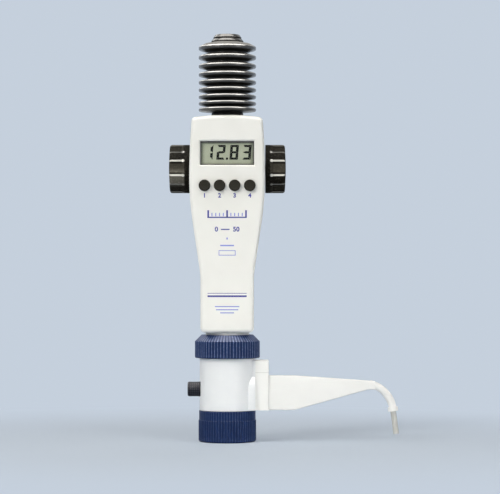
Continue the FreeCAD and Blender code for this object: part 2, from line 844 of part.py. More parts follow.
def covers(outer, inner):
    depth = housing_front + housing_back + overrun * 2
    wide = (-housing_wide_half - overrun, housing_wide_half + overrun)
    tall = (housing_low_z - overrun, housing_top_z + overrun)
    front_half = block(wide, (-depth, 0), tall)
    rear_half = block(wide, (0, depth), tall)
    bosses = [peg(radius, -depth, depth, x, z).common(inner) for x, z, radius in screw_places()]
    shell = outer.cut(inner)
    shell = bored(
        shell,
        post(sleeve_radius + joint_gap, housing_low_z - overrun, housing_low_z + housing_wall + overrun),
        post(top_hole_radius, housing_side_top_z - housing_wall - overrun, housing_top_z + overrun))
    shell = joined(shell, *bosses)
    screws = [case_screw(x, z) for x, z, radius in screw_places()]
    front_cover(shell.common(front_half), screws)
    rear_cover(shell.common(rear_half), screws, outer)
    save("case_screws", *screws)


def window_opening():
    """Space cut for the window, with a bevel in front."""
    width = (-window_half_width, window_half_width)
    opening = block(width, (-housing_front - overrun, wall_back + overrun), (window_low_z, window_high_z))
    frames = []
    for grow, y in ((window_bevel, -housing_front), (0, -housing_front + window_bevel)):
        half = window_half_width + grow
        low_z = window_low_z - grow
        high_z = window_high_z + grow
        corners = [vec(-half, y, low_z), vec(half, y, low_z), vec(half, y, high_z), vec(-half, y, high_z)]
        frames.append(Part.makePolygon(corners + corners[:1]))
    return joined(opening, Part.makeLoft(frames, True, True))


def front_cover(shape, screws):
    posts = []
    for x, z in board_post_places():
        pillar = peg(board_post_radius, wall_back - overrun, board_front, x, z)
        posts.append(pillar.cut(peg(board_screw_radius, board_front - board_screw_reach, board_front, x, z)))
    holes = []
    for x in button_places():
        radius = button_radius + button_hole_gap
        holes.append(peg(radius, -housing_front - overrun, wall_back + overrun, x, button_z))
    shape = joined(shape, *posts)
    save("front_cover", bored(shape, window_opening(), *holes, *screws))


def rear_cover(shape, screws, outer):
    reach = housing_wide_half + overrun
    holes = [bar(bush_flange_radius, -reach, reach, shaft_y, wheel_axis_z)]
    for x, z, radius in screw_places():
        head_y = rear_wall_y(z) - case_head_height
        back_y = rear_wall_y(z) + overrun
        holes.append(peg(case_head_radius + joint_gap, head_y - case_head_height, back_y, x, z))
    shape = bored(shape, *holes, *screws)
    pocket = outer.cut(lid_core(lid_thickness + joint_gap))
    pocket = pocket.common(lid_area(lid_gap))
    save("rear_cover", bored(shape, pocket, lid_area(-lid_ledge)))


def lid_core(depth):
    """Housing form set in by a depth."""
    return housing_solid(depth, inner_corner_radius, inner_edge_radius)


def lid_area(margin):
    """Space behind the housing that the battery lid covers, grown by a margin."""
    x = (-lid_half_width - margin, lid_half_width + margin)
    z = (lid_low_z - margin, lid_high_z + margin)
    return block(x, (tray_front, housing_back + overrun), z)


def battery_lid(outer):
    lid = outer.cut(lid_core(lid_thickness)).common(lid_area(0))
    grip_z = lid_high_z - lid_grip_radius * 2
    grip = peg(lid_grip_radius, housing_back - lid_grip_depth, housing_back + overrun, 0, grip_z)
    save("battery_cover", lid.cut(grip))


def battery_tray(inner):
    low_z = cell_low_z - tray_end_room - tray_wall
    high_z = cell_low_z + cell_length + cell_nub_height + tray_end_room + tray_wall
    width = (-tray_half_width, tray_half_width)
    tray = block(width, (tray_front, housing_back), (low_z, high_z)).common(inner)
    room = block((-tray_half_width + tray_wall, tray_half_width - tray_wall),
                 (tray_front + tray_wall, housing_back + overrun), (low_z + tray_wall, high_z - tray_wall))
    rib = block((-tray_wall / 2, tray_wall / 2), (tray_front, tray_front + cell_radius), (low_z, high_z))
    save("battery_tray", joined(tray.cut(room), rib.common(tray)))
    cells = []
    contacts = []
    for x in (-cell_x, cell_x):
        can = post(cell_radius, cell_low_z, cell_low_z + cell_length, x, cell_y)
        nub_top = cell_low_z + cell_length + cell_nub_height
        cells.append(joined(can, post(cell_nub_radius, cell_low_z, nub_top, x, cell_y)))
        for low, high in ((low_z + tray_wall, cell_low_z), (nub_top, high_z - tray_wall)):
            side_x = (x - contact_half, x + contact_half)
            strip = block(side_x, (cell_y - contact_half, cell_y + contact_half), (low, high))
            hollow = block((x - contact_half + contact_thickness, x + contact_half - contact_thickness),
                           (cell_y - contact_half - overrun, cell_y + contact_half + overrun),
                           (low + contact_thickness, high - contact_thickness))
            contacts.append(strip.cut(hollow))
    save("battery_cells", *cells)
    save("battery_contacts", *contacts)


# Display, board and buttons

def board_post_places():
    places = []
    for x in (-board_post_x, board_post_x):
        for z in (board_post_low_z, board_post_high_z):
            places.append((x, z))
    return places


def button_places():
    middle = (button_count - 1) / 2
    return [(index - middle) * button_pitch for index in range(button_count)]


def display():
    half = window_half_width + pane_rim
    pane_z = (window_low_z - pane_rim, window_high_z + pane_rim)
    save("display_window", block((-half, half), (wall_back, pane_back), pane_z))
    half = window_half_width + module_rim
    module_z = (window_low_z - module_rim, window_high_z + module_rim)
    save("display_module", block((-half, half), (pane_back, module_back), module_z))
    strips = []
    for low in (module_z[0], module_z[1] - strip_height):
        width = (-half + strip_inset, half - strip_inset)
        strips.append(block(width, (module_back, board_front), (low, low + strip_height)))
    save("display_connectors", *strips)


def circuit_board():
    board_z = (board_low_z, board_high_z)
    board = block((-board_half_width, board_half_width), (board_front, board_back), board_z)
    spacers = []
    screws = []
    for x, z in board_post_places():
        hole = peg(board_screw_radius, wall_back, frame_back + overrun, x, z)
        board = board.cut(hole)
        spacers.append(peg(board_post_radius, board_back, frame_front, x, z).cut(hole))
        shank = peg(board_screw_radius, board_front - board_screw_reach, frame_back + joint_gap, x, z)
        head = peg(board_screw_head_radius, frame_back, frame_back + board_screw_head_height, x, z)
        screws.append(joined(shank, head))
    save("circuit_board", board)
    save("board_spacers", *spacers)
    save("frame_screws", *screws)
    domes = [peg(dome_radius, board_front - dome_height, board_front, x, button_z) for x in button_places()]
    save("switch_domes", *domes)


def buttons():
    front = -housing_front - button_proud
    flange_front = wall_back + turning_gap
    flange_back = flange_front + button_flange_thickness
    stem_back = board_front - dome_height - button_travel - button_stem_gap
    for index, x in enumerate(button_places()):
        cap = peg(button_radius, front, flange_back, x, button_z)
        rim = edges_where(cap, lambda edge: edge.CenterOfMass.y < front + button_edge and
                          isinstance(edge.Curve, Part.Circle))
        cap = cap.makeFillet(button_edge, rim)
        flange = peg(button_flange_radius, flange_front, flange_back, x, button_z)
        stem = peg(button_stem_radius, flange_front, stem_back, x, button_z)
        save("button_" + str(index + 1), joined(cap, flange, stem))


# Drive

def rod_hole(low_z, high_z, gap):
    """Opening that the rack rod passes through."""
    half = rack_half_width + gap
    return block((-half, half), (-rack_front - gap, rack_tip_y + gap), (low_z - overrun, high_z + overrun))


def drive_frame():
    plate_z = (board_low_z, frame_high_z)
    plate = block((-frame_half_width, frame_half_width), (frame_front, frame_back), plate_z)
    waist = block((-cheek_outer_x, cheek_outer_x), (frame_front, frame_back), (frame_low_z, frame_high_z))
    shelf_z = (frame_low_z, frame_low_z + frame_plate)
    shelf = block((-cheek_outer_x, cheek_outer_x), (frame_front, cheek_back), shelf_z)
    guide = block((-guide_shelf_half, guide_shelf_half), (frame_front, guide_shelf_back),
                  (guide_shelf_z, guide_shelf_z + frame_plate))
    cheeks = []
    for sign in (1, -1):
        limits = sorted((sign * cheek_outer_x, sign * (cheek_outer_x - frame_plate)))
        cheeks.append(block(limits, (frame_front, cheek_back), (frame_low_z, cheek_high_z)))
    skirt_low = frame_low_z - frame_skirt_height
    skirt = post(glass_radius + frame_skirt_wall, skirt_low, frame_low_z + frame_plate / 2)
    frame = joined(plate, waist, shelf, guide, *cheeks, skirt)
    cuts = [
        post(glass_radius + joint_gap, frame_low_z - frame_skirt_height - overrun, frame_low_z),
        rod_hole(frame_low_z, frame_low_z + frame_plate, rod_guide_gap),
        rod_hole(guide_shelf_z, guide_shelf_z + frame_plate, rod_guide_gap),
        bar(bush_radius, -cheek_outer_x - overrun, cheek_outer_x + overrun, shaft_y, wheel_axis_z)]
    for x, z in board_post_places():
        cuts.append(peg(board_screw_radius, frame_front - overrun, frame_back + overrun, x, z))
    save("drive_frame", bored(frame, *cuts))
    pad_z = (wheel_axis_z - pad_height / 2, wheel_axis_z + pad_height / 2)
    pad_y = (frame_back, -rack_front - running_fit)
    save("rack_thrust_pad", block((-pad_half_width, pad_half_width), pad_y, pad_z))


def drive_shaft():
    end = wheel_outer_x() - wheel_cap_thickness - wheel_screw_head - wheel_web
    shaft = bar(shaft_radius, -end, end, shaft_y, wheel_axis_z)
    cuts = []
    clips = []
    for sign in (1, -1):
        near = cheek_outer_x - frame_plate - clip_gap
        groove = sorted((sign * near, sign * (near - clip_thickness)))
        inner = shaft_radius - clip_groove
        cuts.append(tube_x(shaft_radius + overrun, inner, groove, wheel_axis_z, shaft_y))
        clips.append(tube_x(clip_radius, inner, groove, wheel_axis_z, shaft_y))
        tap = sorted((sign * (end - wheel_screw_reach), sign * (end + overrun)))
        cuts.append(bar(wheel_screw_radius, tap[0], tap[1], shaft_y, wheel_axis_z))
    save("drive_shaft", bored(shaft, *cuts))
    save("retaining_clips", *clips)
    bore = shaft_radius + running_fit
    sleeve = tube_x(bush_radius, bore, (cheek_outer_x - frame_plate, cheek_outer_x), wheel_axis_z, shaft_y)
    rim_x = (cheek_outer_x, cheek_outer_x + bush_flange)
    rim = tube_x(bush_flange_radius, bore, rim_x, wheel_axis_z, shaft_y)
    bush = joined(sleeve, rim)
    save("shaft_bushes", bush, mirrored(bush))


def involute_pinion():
    """Spur pinion with involute flanks. One tooth points at the rack, between two rack teeth."""
    base = pinion_pitch_radius * math.cos(math.radians(rack_tooth_angle))
    tip = pinion_pitch_radius + gear_module
    root = pinion_pitch_radius - gear_root_share * gear_module
    pressure = math.radians(rack_tooth_angle)
    half_tooth = math.pi / (2 * pinion_teeth) - gear_backlash / (2 * pinion_pitch_radius)
    at_base = half_tooth + math.tan(pressure) - pressure
    flank_steps = 5
    roll_end = math.sqrt((tip / base) ** 2 - 1)
    flank = []
    for step in range(flank_steps + 1):
        roll = roll_end * step / flank_steps
        radius = base * math.sqrt(1 + roll ** 2)
        flank.append((radius, at_base - (roll - math.atan(roll))))
    outline = []
    for tooth in range(pinion_teeth):
        centre = 2 * math.pi * tooth / pinion_teeth
        side = [(root, at_base)] + flank
        for radius, angle in side:
            outline.append((radius, centre - angle))
        for radius, angle in reversed(side):
            outline.append((radius, centre + angle))
    corners = []
    for radius, angle in outline:
        y = shaft_y - radius * math.cos(angle)
        z = wheel_axis_z + radius * math.sin(angle)
        corners.append(vec(-pinion_width / 2, y, z))
    gear = prism(corners, right * pinion_width)
    return gear.cut(bar(shaft_radius, -pinion_width, pinion_width, shaft_y, wheel_axis_z))


def encoder():
    disc = bar(encoder_radius, encoder_x, encoder_x + encoder_thickness, shaft_y, wheel_axis_z)
    slots = []
    for index in range(encoder_slots):
        outer_z = wheel_axis_z + encoder_radius - encoder_slot_rim
        slot = block((encoder_x - overrun, encoder_x + encoder_thickness + overrun),
                     (shaft_y - encoder_slot_width / 2, shaft_y + encoder_slot_width / 2),
                     (outer_z - encoder_slot_depth, outer_z))
        slot.rotate(vec(0, shaft_y, wheel_axis_z), right, 360 * index / encoder_slots)
        slots.append(slot)
    hub_end = encoder_x + encoder_thickness * 2
    hub = bar(encoder_hub_radius, encoder_x, hub_end, shaft_y, wheel_axis_z)
    bore = bar(shaft_radius, encoder_x - overrun, hub_end + overrun, shaft_y, wheel_axis_z)
    save("encoder_disc", bored(joined(disc.cut(Part.makeCompound(slots)), hub), bore))
    sensor_y = (shaft_y - sensor_half_depth, shaft_y + sensor_half_depth)
    body = block((cheek_outer_x, cheek_outer_x + sensor_width), sensor_y, (sensor_low_z, sensor_high_z))
    slot_low = wheel_axis_z - encoder_radius - sensor_gap
    gap = block((encoder_x - sensor_gap, encoder_x + encoder_thickness + sensor_gap),
                (sensor_y[0] - overrun, sensor_y[1] + overrun), (slot_low, sensor_high_z + overrun))
    save("encoder_sensor", body.cut(gap))


def wheel_inner_x():
    return housing_wide_half + wheel_gap


def wheel_outer_x():
    return wheel_inner_x() + wheel_length


def hand_wheel():
    """Right-hand wheel: fluted rim, closed outer face, hub on the shaft."""
    inner = wheel_inner_x()
    outer = wheel_outer_x()
    dome_radius = (wheel_radius ** 2 + wheel_crown ** 2) / (2 * wheel_crown)
    dome = Part.makeSphere(dome_radius, vec(outer - dome_radius, shaft_y, wheel_axis_z), right)
    blank = bar(wheel_radius, inner, outer + overrun, shaft_y, wheel_axis_z).common(dome)
    rims = edges_where(blank, lambda edge: edge.BoundBox.XMin > outer - wheel_crown * 2 and
                       edge.BoundBox.ZLength > wheel_radius)
    body = blank.makeFillet(wheel_edge_radius, rims)
    centre = wheel_radius + wheel_flute_radius - wheel_flute_depth
    start = inner + wheel_flute_start + wheel_flute_nose
    for index in range(wheel_flutes):
        flute = bar(wheel_flute_radius, start, outer + overrun, shaft_y, wheel_axis_z + centre)
        squash = FreeCAD.Matrix()
        squash.scale(wheel_flute_nose / wheel_flute_radius, 1, 1)
        nose = Part.makeSphere(wheel_flute_radius).transformGeometry(squash)
        nose.translate(vec(start, shaft_y, wheel_axis_z + centre))
        cutter = flute.fuse(nose)
        cutter.rotate(vec(0, shaft_y, wheel_axis_z), right, 360 * (index + 1 / 2) / wheel_flutes)
        body = body.cut(cutter)
    hollow = tube_x(wheel_radius - wheel_rim, wheel_hub_radius, (inner - overrun, outer - wheel_face),
                    wheel_axis_z, shaft_y)
    shaft_end = outer - wheel_cap_thickness - wheel_screw_head - wheel_web
    bore = bar(shaft_radius, inner - overrun, shaft_end, shaft_y, wheel_axis_z)
    screw_hole = bar(wheel_screw_radius, shaft_end - overrun, outer + overrun, shaft_y, wheel_axis_z)
    recess_radius = wheel_screw_head_radius + joint_gap
    recess = bar(recess_radius, shaft_end + wheel_web, outer + overrun, shaft_y, wheel_axis_z)
    cap_seat = bar(wheel_cap_radius, outer - wheel_cap_thickness, outer + overrun, shaft_y, wheel_axis_z)
    return bored(body, hollow, bore, screw_hole, recess, cap_seat)


def wheels():
    wheel = hand_wheel()
    save("right_hand_wheel", wheel)
    save("left_hand_wheel", mirrored(wheel))
    outer = wheel_outer_x()
    shaft_end = outer - wheel_cap_thickness - wheel_screw_head - wheel_web
    cap = bar(wheel_cap_radius, outer - wheel_cap_thickness, outer, shaft_y, wheel_axis_z)
    save("wheel_caps", cap, mirrored(cap))
    head_x = shaft_end + wheel_web
    tip_x = shaft_end - wheel_screw_reach + joint_gap
    shank = bar(wheel_screw_radius, tip_x, head_x + joint_gap, shaft_y, wheel_axis_z)
    head = bar(wheel_screw_head_radius, head_x, head_x + wheel_screw_head, shaft_y, wheel_axis_z)
    screw = joined(shank, head)
    save("wheel_screws", screw, mirrored(screw))
    save("pinion", involute_pinion())
    encoder()


# Bellows

def bellows_rib_heights():
    heights = [bellows_low_z + bellows_first_rise]
    for index in range(bellows_ribs - 1):
        heights.append(heights[-1] + bellows_first_pitch + bellows_pitch_growth * index)
    return heights


def bellows_high_z():
    return bellows_rib_heights()[-1] + bellows_last_rise


def bellows():
    """Ribbed rubber sleeve: four circles a rib outside, and the same folds inside its wall."""
    heights = bellows_rib_heights()
    low = bellows_low_z
    high = bellows_high_z()
    outside = [(bellows_end_radius, low)]
    inside = [(bellows_end_radius - bellows_wall, low - overrun), (bellows_end_radius - bellows_wall, low)]
    for index, z in enumerate(heights):
        below = (heights[index - 1] + z) / 2 if index else None
        above = (heights[index + 1] + z) / 2 if index + 1 < len(heights) else None
        if below is not None:
            outside.append((bellows_valley_radius, below + bellows_valley_flat / 2))
            inside.append((bellows_valley_radius - bellows_wall, below + bellows_valley_flat / 2))
        outside.append((bellows_radius, z - bellows_lip / 2))
        outside.append((bellows_radius, z + bellows_lip / 2))
        inside.append((bellows_radius - bellows_wall - bellows_wall, z - bellows_fold / 2))
        inside.append((bellows_radius - bellows_wall - bellows_wall, z + bellows_fold / 2))
        if above is not None:
            outside.append((bellows_valley_radius, above - bellows_valley_flat / 2))
            inside.append((bellows_valley_radius - bellows_wall, above - bellows_valley_flat / 2))
    outside.append((bellows_end_radius, high))
    inside.append((bellows_end_radius - bellows_wall, high - bellows_top_wall))

    def stack(circles):
        wires = [Part.Wire(Part.makeCircle(radius, vec(0, 0, z), up)) for radius, z in circles]
        return Part.makeLoft(wires, True, True)

    hole = post(rod_spigot_radius, high - bellows_top_wall - overrun, high + overrun)
    save("bellows", bored(stack(outside), stack(inside), hole))
    flange = post(bellows_end_radius, housing_top_z, bellows_low_z)
    collar = post(top_hole_radius - joint_gap, housing_side_top_z - housing_wall, housing_top_z)
    base = joined(flange, collar)
    hole = rod_hole(housing_side_top_z - housing_wall, bellows_low_z, rod_guide_gap)
    save("bellows_base_ring", base.cut(hole))
    ring_high = high + top_ring_height
    save("bellows_top_ring", ring(bellows_end_radius, rod_spigot_radius, high, ring_high))
    cap = post(end_cap_radius, ring_high, ring_high + end_cap_height)
    cap = cap.makeFillet(end_cap_edge, circle_edges(cap, end_cap_radius, ring_high + end_cap_height))
    socket = post(rod_spigot_radius, ring_high - overrun, high + rod_spigot_length)
    save("rod_end_cap", cap.cut(socket))


# Discharge arm

def bend_point(angle, radius):
    turn = math.radians(angle)
    return vec(bend_x + radius * math.cos(turn), 0, tube_z - bend_radius + radius * math.sin(turn))


def bend_direction(angle):
    turn = math.radians(angle)
    return vec(math.sin(turn), 0, -math.cos(turn))


def swept(path, radius, start, direction):
    circle = Part.Wire(Part.makeCircle(radius, start, direction))
    return Part.Wire(path).makePipeShell([circle], True, False)


def bend_arc(start_angle, end_angle):
    middle = (start_angle + end_angle) / 2
    return Part.Arc(bend_point(start_angle, bend_radius), bend_point(middle, bend_radius),
                    bend_point(end_angle, bend_radius)).toShape()


def along(point, direction, distance):
    return point + direction * distance


def arm_form(inset, split_inset):
    """Tapered arm: its front outline crossed with its outline from above."""
    low_x = arm_block_x + inset
    corners = [
        (low_x, arm_block_low_z + inset), (arm_bend_x, arm_block_low_z + inset),
        (arm_low_end_x, arm_low_end_z + inset), (arm_high_end_x - inset, arm_low_end_z + inset),
        (arm_high_end_x - inset, arm_high_end_z - inset), (arm_bend_x, arm_root_high_z - inset),
        (low_x, arm_root_high_z - inset)]
    width = arm_root_half + overrun
    side = prism([vec(x, -width, z) for x, z in corners], back * (width * 2))
    root = arm_root_half - inset
    tip = arm_tip_half - split_inset
    plan = [(low_x, -root), (arm_high_end_x - inset, -tip), (arm_high_end_x - inset, tip), (low_x, root)]
    height = arm_root_high_z - arm_block_low_z + overrun * 2
    deep = prism([vec(x, y, arm_block_low_z - overrun) for x, y in plan], up * height)
    return side.common(deep).Solids[0]


def discharge_arm():
    outer = arm_form(0, 0)
    long_edges = edges_where(outer, lambda edge: edge.BoundBox.XLength > overrun)
    outer = outer.makeFillet(arm_edge, long_edges)
    room = arm_form(arm_wall, arm_wall)
    clamp_x = arm_high_end_x - arm_clamp_length
    room = room.common(block((arm_block_x, clamp_x), (-arm_root_half, arm_root_half),
                             (arm_block_low_z, arm_root_high_z)))
    channel = bar(tube_radius, arm_block_x - overrun, bend_x, 0, tube_z)
    bend = swept([bend_arc(90, bend_end_angle)], tube_radius, bend_point(90, bend_radius), right)
    jacket_start = bend_point(jacket_start_angle, bend_radius)
    jacket_line = [bend_arc(jacket_start_angle, bend_end_angle)]
    jacket = swept(jacket_line, jacket_radius, jacket_start, bend_direction(jacket_start_angle))
    shell = bored(outer, room, channel, bend, jacket)
    wide = (arm_block_x - overrun, arm_high_end_x + overrun)
    tall = (arm_block_low_z - overrun, arm_root_high_z + overrun)
    half = arm_root_half + overrun
    save("arm_shell_front", shell.common(block(wide, (-half, 0), tall)))
    save("arm_shell_rear", shell.common(block(wide, (0, half), tall)))
    start = vec(block_pad_x, 0, tube_z)
    path = [Part.LineSegment(start, bend_point(90, bend_radius)).toShape(), bend_arc(90, bend_end_angle)]
    tube = swept(path, tube_radius, start, right).cut(swept(path, tube_bore_radius, start, right))
    save("discharge_tube", tube)
    end = bend_point(bend_end_angle, bend_radius)
    way = bend_direction(bend_end_angle)
    collar = Part.makeCylinder(collar_radius, collar_length, along(end, way, -collar_length / 2), way)
    tip_start = along(end, way, joint_gap)
    socket = Part.makeCylinder(nozzle_radius, collar_length, tip_start, way)
    save("spout_jacket", bored(joined(jacket, collar), bend, socket))
    tip = Part.makeCylinder(nozzle_radius, nozzle_length, tip_start, way)
    save("nozzle_tip", tip.cut(Part.makeCylinder(nozzle_bore_radius, nozzle_length + overrun * 2, end, way)))


def arm_block():
    x = (block_pad_x, arm_block_x)
    y = (-block_pad_half_width, block_pad_half_width)
    lower = block(x, y, (arm_block_low_z, arm_block_split_z))
    upper = block(x, y, (arm_block_split_z, arm_block_high_z))

    def outer_uprights(shape):
        return edges_where(shape, lambda edge: edge.BoundBox.XMin > block_pad_x + overrun and
                           edge.BoundBox.ZLength > overrun)

    lower = lower.makeFillet(arm_block_edge, outer_uprights(lower))
    upper = upper.makeFillet(arm_block_edge, outer_uprights(upper))
    crown = edges_where(upper, lambda edge: edge.BoundBox.ZMin > arm_block_high_z - joint_gap and
                        edge.BoundBox.XMin > block_pad_x - joint_gap and edge.BoundBox.XMax > block_pad_x + joint_gap)
    upper = upper.makeFillet(arm_block_edge / 2, crown)
    middle = (x[0] + x[1]) / 2
    tongue = block((middle - arm_lock_tongue / 2, middle + arm_lock_tongue / 2),
                   (-arm_lock_tongue_half, arm_lock_tongue_half),
                   (arm_block_split_z - arm_lock_tongue, arm_block_split_z + overrun))
    channel = bar(tube_radius, block_pad_x - overrun, arm_block_x + overrun, 0, tube_z)
    save("arm_block", bored(lower, channel, tongue))
    save("arm_lock", joined(upper, tongue))


os.makedirs("parts", exist_ok=True)
housing_outer = housing_solid(0, housing_corner_radius, housing_edge_radius)
housing_inner = housing_solid(housing_wall, inner_corner_radius, inner_edge_radius)
bottle_nut()
valve_block()
swivel_and_gasket()
filling_valve()
discharge_valve()
stopcock()
coupling_nut()
neck_sleeve()
glass_and_piston()
rack_rod()
covers(housing_outer, housing_inner)
battery_lid(housing_outer)
battery_tray(housing_inner)
display()
circuit_board()
buttons()
drive_frame()
drive_shaft()
wheels()
bellows()
arm_block()
discharge_arm()
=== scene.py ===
import math

import bmesh
import bpy
from mathutils import Matrix, Vector


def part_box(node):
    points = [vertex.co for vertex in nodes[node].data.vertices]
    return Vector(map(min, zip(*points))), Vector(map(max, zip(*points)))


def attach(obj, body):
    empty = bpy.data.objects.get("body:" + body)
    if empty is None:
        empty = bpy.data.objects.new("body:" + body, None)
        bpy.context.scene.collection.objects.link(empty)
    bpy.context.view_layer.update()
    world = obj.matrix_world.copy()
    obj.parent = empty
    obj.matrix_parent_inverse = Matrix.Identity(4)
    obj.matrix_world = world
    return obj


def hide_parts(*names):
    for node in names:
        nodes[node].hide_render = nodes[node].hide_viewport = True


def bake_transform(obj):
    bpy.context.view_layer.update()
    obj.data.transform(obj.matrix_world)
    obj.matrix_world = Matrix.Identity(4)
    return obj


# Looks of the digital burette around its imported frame. Metres, +Z up, the display faces -Y.

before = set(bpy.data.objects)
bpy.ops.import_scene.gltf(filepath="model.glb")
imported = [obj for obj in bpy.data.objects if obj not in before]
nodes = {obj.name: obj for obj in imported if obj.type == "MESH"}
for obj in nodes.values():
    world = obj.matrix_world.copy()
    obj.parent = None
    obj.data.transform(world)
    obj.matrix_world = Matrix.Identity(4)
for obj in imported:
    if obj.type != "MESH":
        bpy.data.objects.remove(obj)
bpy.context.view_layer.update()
MM = 0.001

# Counts, and sizes in millimetres, that several parts of the script share
rib_count = 64
nut_rib_depth = 0.5
coupling_rib_depth = 0.6
rib_steps = 8
knob_ridges, knob_row = 20, 1.75
round_steps = 128
wheel_steps = 288
corner_steps = 6
sharp_angle = math.radians(32)
print_proud = 0.05
flutes, flute_radius, flute_depth, flute_start, flute_nose = 6, 20.0, 2.2, 4.1, 3.0
ridge_share = 0.41


def low(node):
    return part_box(node)[0] / MM


def high(node):
    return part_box(node)[1] / MM


def middle(node):
    return (low(node) + high(node)) / 2


def show(thing):
    bpy.context.scene.collection.objects.link(thing)


# Shader graphs written as expressions

class Signal:
    """One output of a shader node, for use in Python arithmetic."""

    def __init__(self, graph, socket):
        self.graph = graph
        self.socket = socket

    def maths(self, operation, *others):
        return self.graph.node("Math", {"operation": operation}, self, *others)

    def __add__(self, other):
        return self.maths("ADD", other)

    def __sub__(self, other):
        return self.maths("SUBTRACT", other)

    def __rsub__(self, other):
        return self.graph.node("Math", {"operation": "SUBTRACT"}, other, self)

    def __mul__(self, other):
        return self.maths("MULTIPLY", other)

    def __truediv__(self, other):
        return self.maths("DIVIDE", other)

    def __abs__(self):
        return self.maths("ABSOLUTE")

    def most(self, other):
        return self.maths("MAXIMUM", other)

    def around(self, other, count):
        """0 at each of the count ridges round an axis and 1 midway between, from both distances off it."""
        angle = self.maths("ARCTAN2", other)
        return (angle * (count / math.pi) + count).maths("PINGPONG", 1.0)

    __radd__, __rmul__ = __add__, __mul__


class Graph:
    """The nodes of a material or of the world."""

    def __init__(self, tree):
        self.tree = tree

    def link(self, value, socket):
        if isinstance(value, Signal):
            value = value.socket
        if isinstance(value, bpy.types.NodeSocket):
            self.tree.links.new(value, socket)
        else:
            socket.default_value = value

    def node(self, kind, settings, *values, output=0, **named):
        """Adds a node: settings first, then sockets by order and by name. Gives one output, if it has any."""
        made = self.tree.nodes.new("ShaderNode" + kind)
        for name, value in settings.items():
            setattr(made, name, value)
        inputs = [socket for socket in made.inputs if socket.enabled]
        for value, socket in zip(values, inputs):
            self.link(value, socket)
        for name, value in named.items():
            matching = [socket for socket in inputs if socket.name == name.replace("_", " ")]
            self.link(value, matching[0])
        if isinstance(output, str):
            return Signal(self, made.outputs[output])
        outputs = [socket for socket in made.outputs if socket.enabled]
        return Signal(self, outputs[output]) if outputs else None

    def seen(self):
        """1 for the camera, gloss and glass, and 0 for the light that falls on the object."""
        camera, gloss, glass = [self.node("LightPath", {}, output="Is %s Ray" % ray)
                                for ray in ("Camera", "Glossy", "Transmission")]
        return camera.most(gloss).most(glass)


class Finish(Graph):
    """A material. Its patterns are laid out in millimetres of the shared frame."""

    def __init__(self, name, specular=0.5, **constants):
        self.material = bpy.data.materials.new(name)
        self.material.use_nodes = True
        super().__init__(self.material.node_tree)
        self.shader = self.tree.nodes["Principled BSDF"]
        self.fixed("Specular IOR Level", specular)
        self.fixed("Subsurface Radius", (1, 1, 1))
        for socket, value in constants.items():
            self.fixed(socket.replace("_", " "), value)
        self.normal = None
        place = self.node("TexCoord", {}, output="Object")
        self.point = self.node("VectorMath", {"operation": "SCALE"}, place, Scale=1 / MM)

    def fixed(self, socket, value):
        self.shader.inputs[socket].default_value = value

    def axes(self):
        """The point's X, Y and Z in millimetres."""
        return [self.node("SeparateXYZ", {}, self.point, output=index) for index in range(3)]

    def grain(self, size, detail=2.0, rough=0.5, stretch=(1, 1, 1)):
        """Cloudy noise whose patches are about this many millimetres across."""
        scale = tuple(share / size for share in stretch)
        place = self.node("VectorMath", {"operation": "MULTIPLY"}, self.point, scale)
        return self.node("TexNoise", {}, Vector=place, Scale=1.0, Detail=detail, Roughness=rough)

    def cells(self, size):
        place = self.node("VectorMath", {"operation": "SCALE"}, self.point, Scale=1 / size)
        return self.node("TexVoronoi", {}, Vector=place, Scale=1.0)

    def ramp(self, value, start, end):
        """0 below start, 1 above end, a soft step between."""
        return self.node("MapRange", {"interpolation_type": "SMOOTHSTEP"}, value, start, end, 0.0, 1.0)

    def upward(self, start, end):
        """1 where the surface looks up, where dust settles. The limits are the normal's height."""
        normal = self.node("TexCoord", {}, output="Normal")
        return self.ramp(self.node("SeparateXYZ", {}, normal, output=2), start, end)

    def mix(self, share, first, second):
        def as_colour(value):
            return value + (1,) if isinstance(value, tuple) else value
        return self.node("Mix", {"data_type": "RGBA"}, share, as_colour(first), as_colour(second))

    def paint(self, value):
        self.link(value, self.shader.inputs["Base Color"])

    def rough(self, value):
        self.link(value, self.shader.inputs["Roughness"])

    def bump(self, value, depth):
        """Relief of a depth in millimetres, on top of any relief before it."""
        named = {"Height": value, "Distance": depth * MM, "Strength": 1.0}
        if self.normal is not None:
            named["Normal"] = self.normal
        self.normal = self.node("Bump", {}, **named)
        self.link(self.normal, self.shader.inputs["Normal"])


def shade(colour, share):
    return tuple(min(1.0, part * share) for part in colour)


def moulded(name, colour, roughness):
    """Moulded plastic: eroded mould texture, faint clouding, uneven gloss."""
    finish = Finish(name)
    texture = finish.grain(0.6, 4.0, 0.62)
    finish.paint(finish.mix(finish.grain(18.0, 3.0), shade(colour, 0.955), shade(colour, 1.03)))
    finish.rough(roughness - 0.06 + 0.12 * texture)
    finish.bump(texture, 0.02)
    return finish


def shell_white():
    """Warm white case plastic, with a fine parting line where the two covers meet."""
    colour, toned, seam_colour = (0.84, 0.838, 0.80), (0.80, 0.795, 0.745), (0.30, 0.29, 0.27)
    finish = Finish("shell_white", 0.10, Subsurface_Weight=0.08, Subsurface_Scale=0.002)
    texture = finish.grain(0.55, 4.0, 0.62)
    seam = 1 - finish.ramp(abs(finish.axes()[1]), 0.05, 0.16)
    handling = finish.ramp(finish.grain(46.0, 2.0), 0.52, 0.75)
    body = finish.mix(finish.grain(18.0), shade(colour, 0.965), shade(colour, 1.03))
    finish.paint(finish.mix(seam * 0.55, finish.mix(handling * 0.5, body, toned), seam_colour))
    finish.rough(0.34 + 0.12 * texture)
    finish.bump(texture, 0.02)
    finish.bump(1 - seam, 0.12)
    return finish


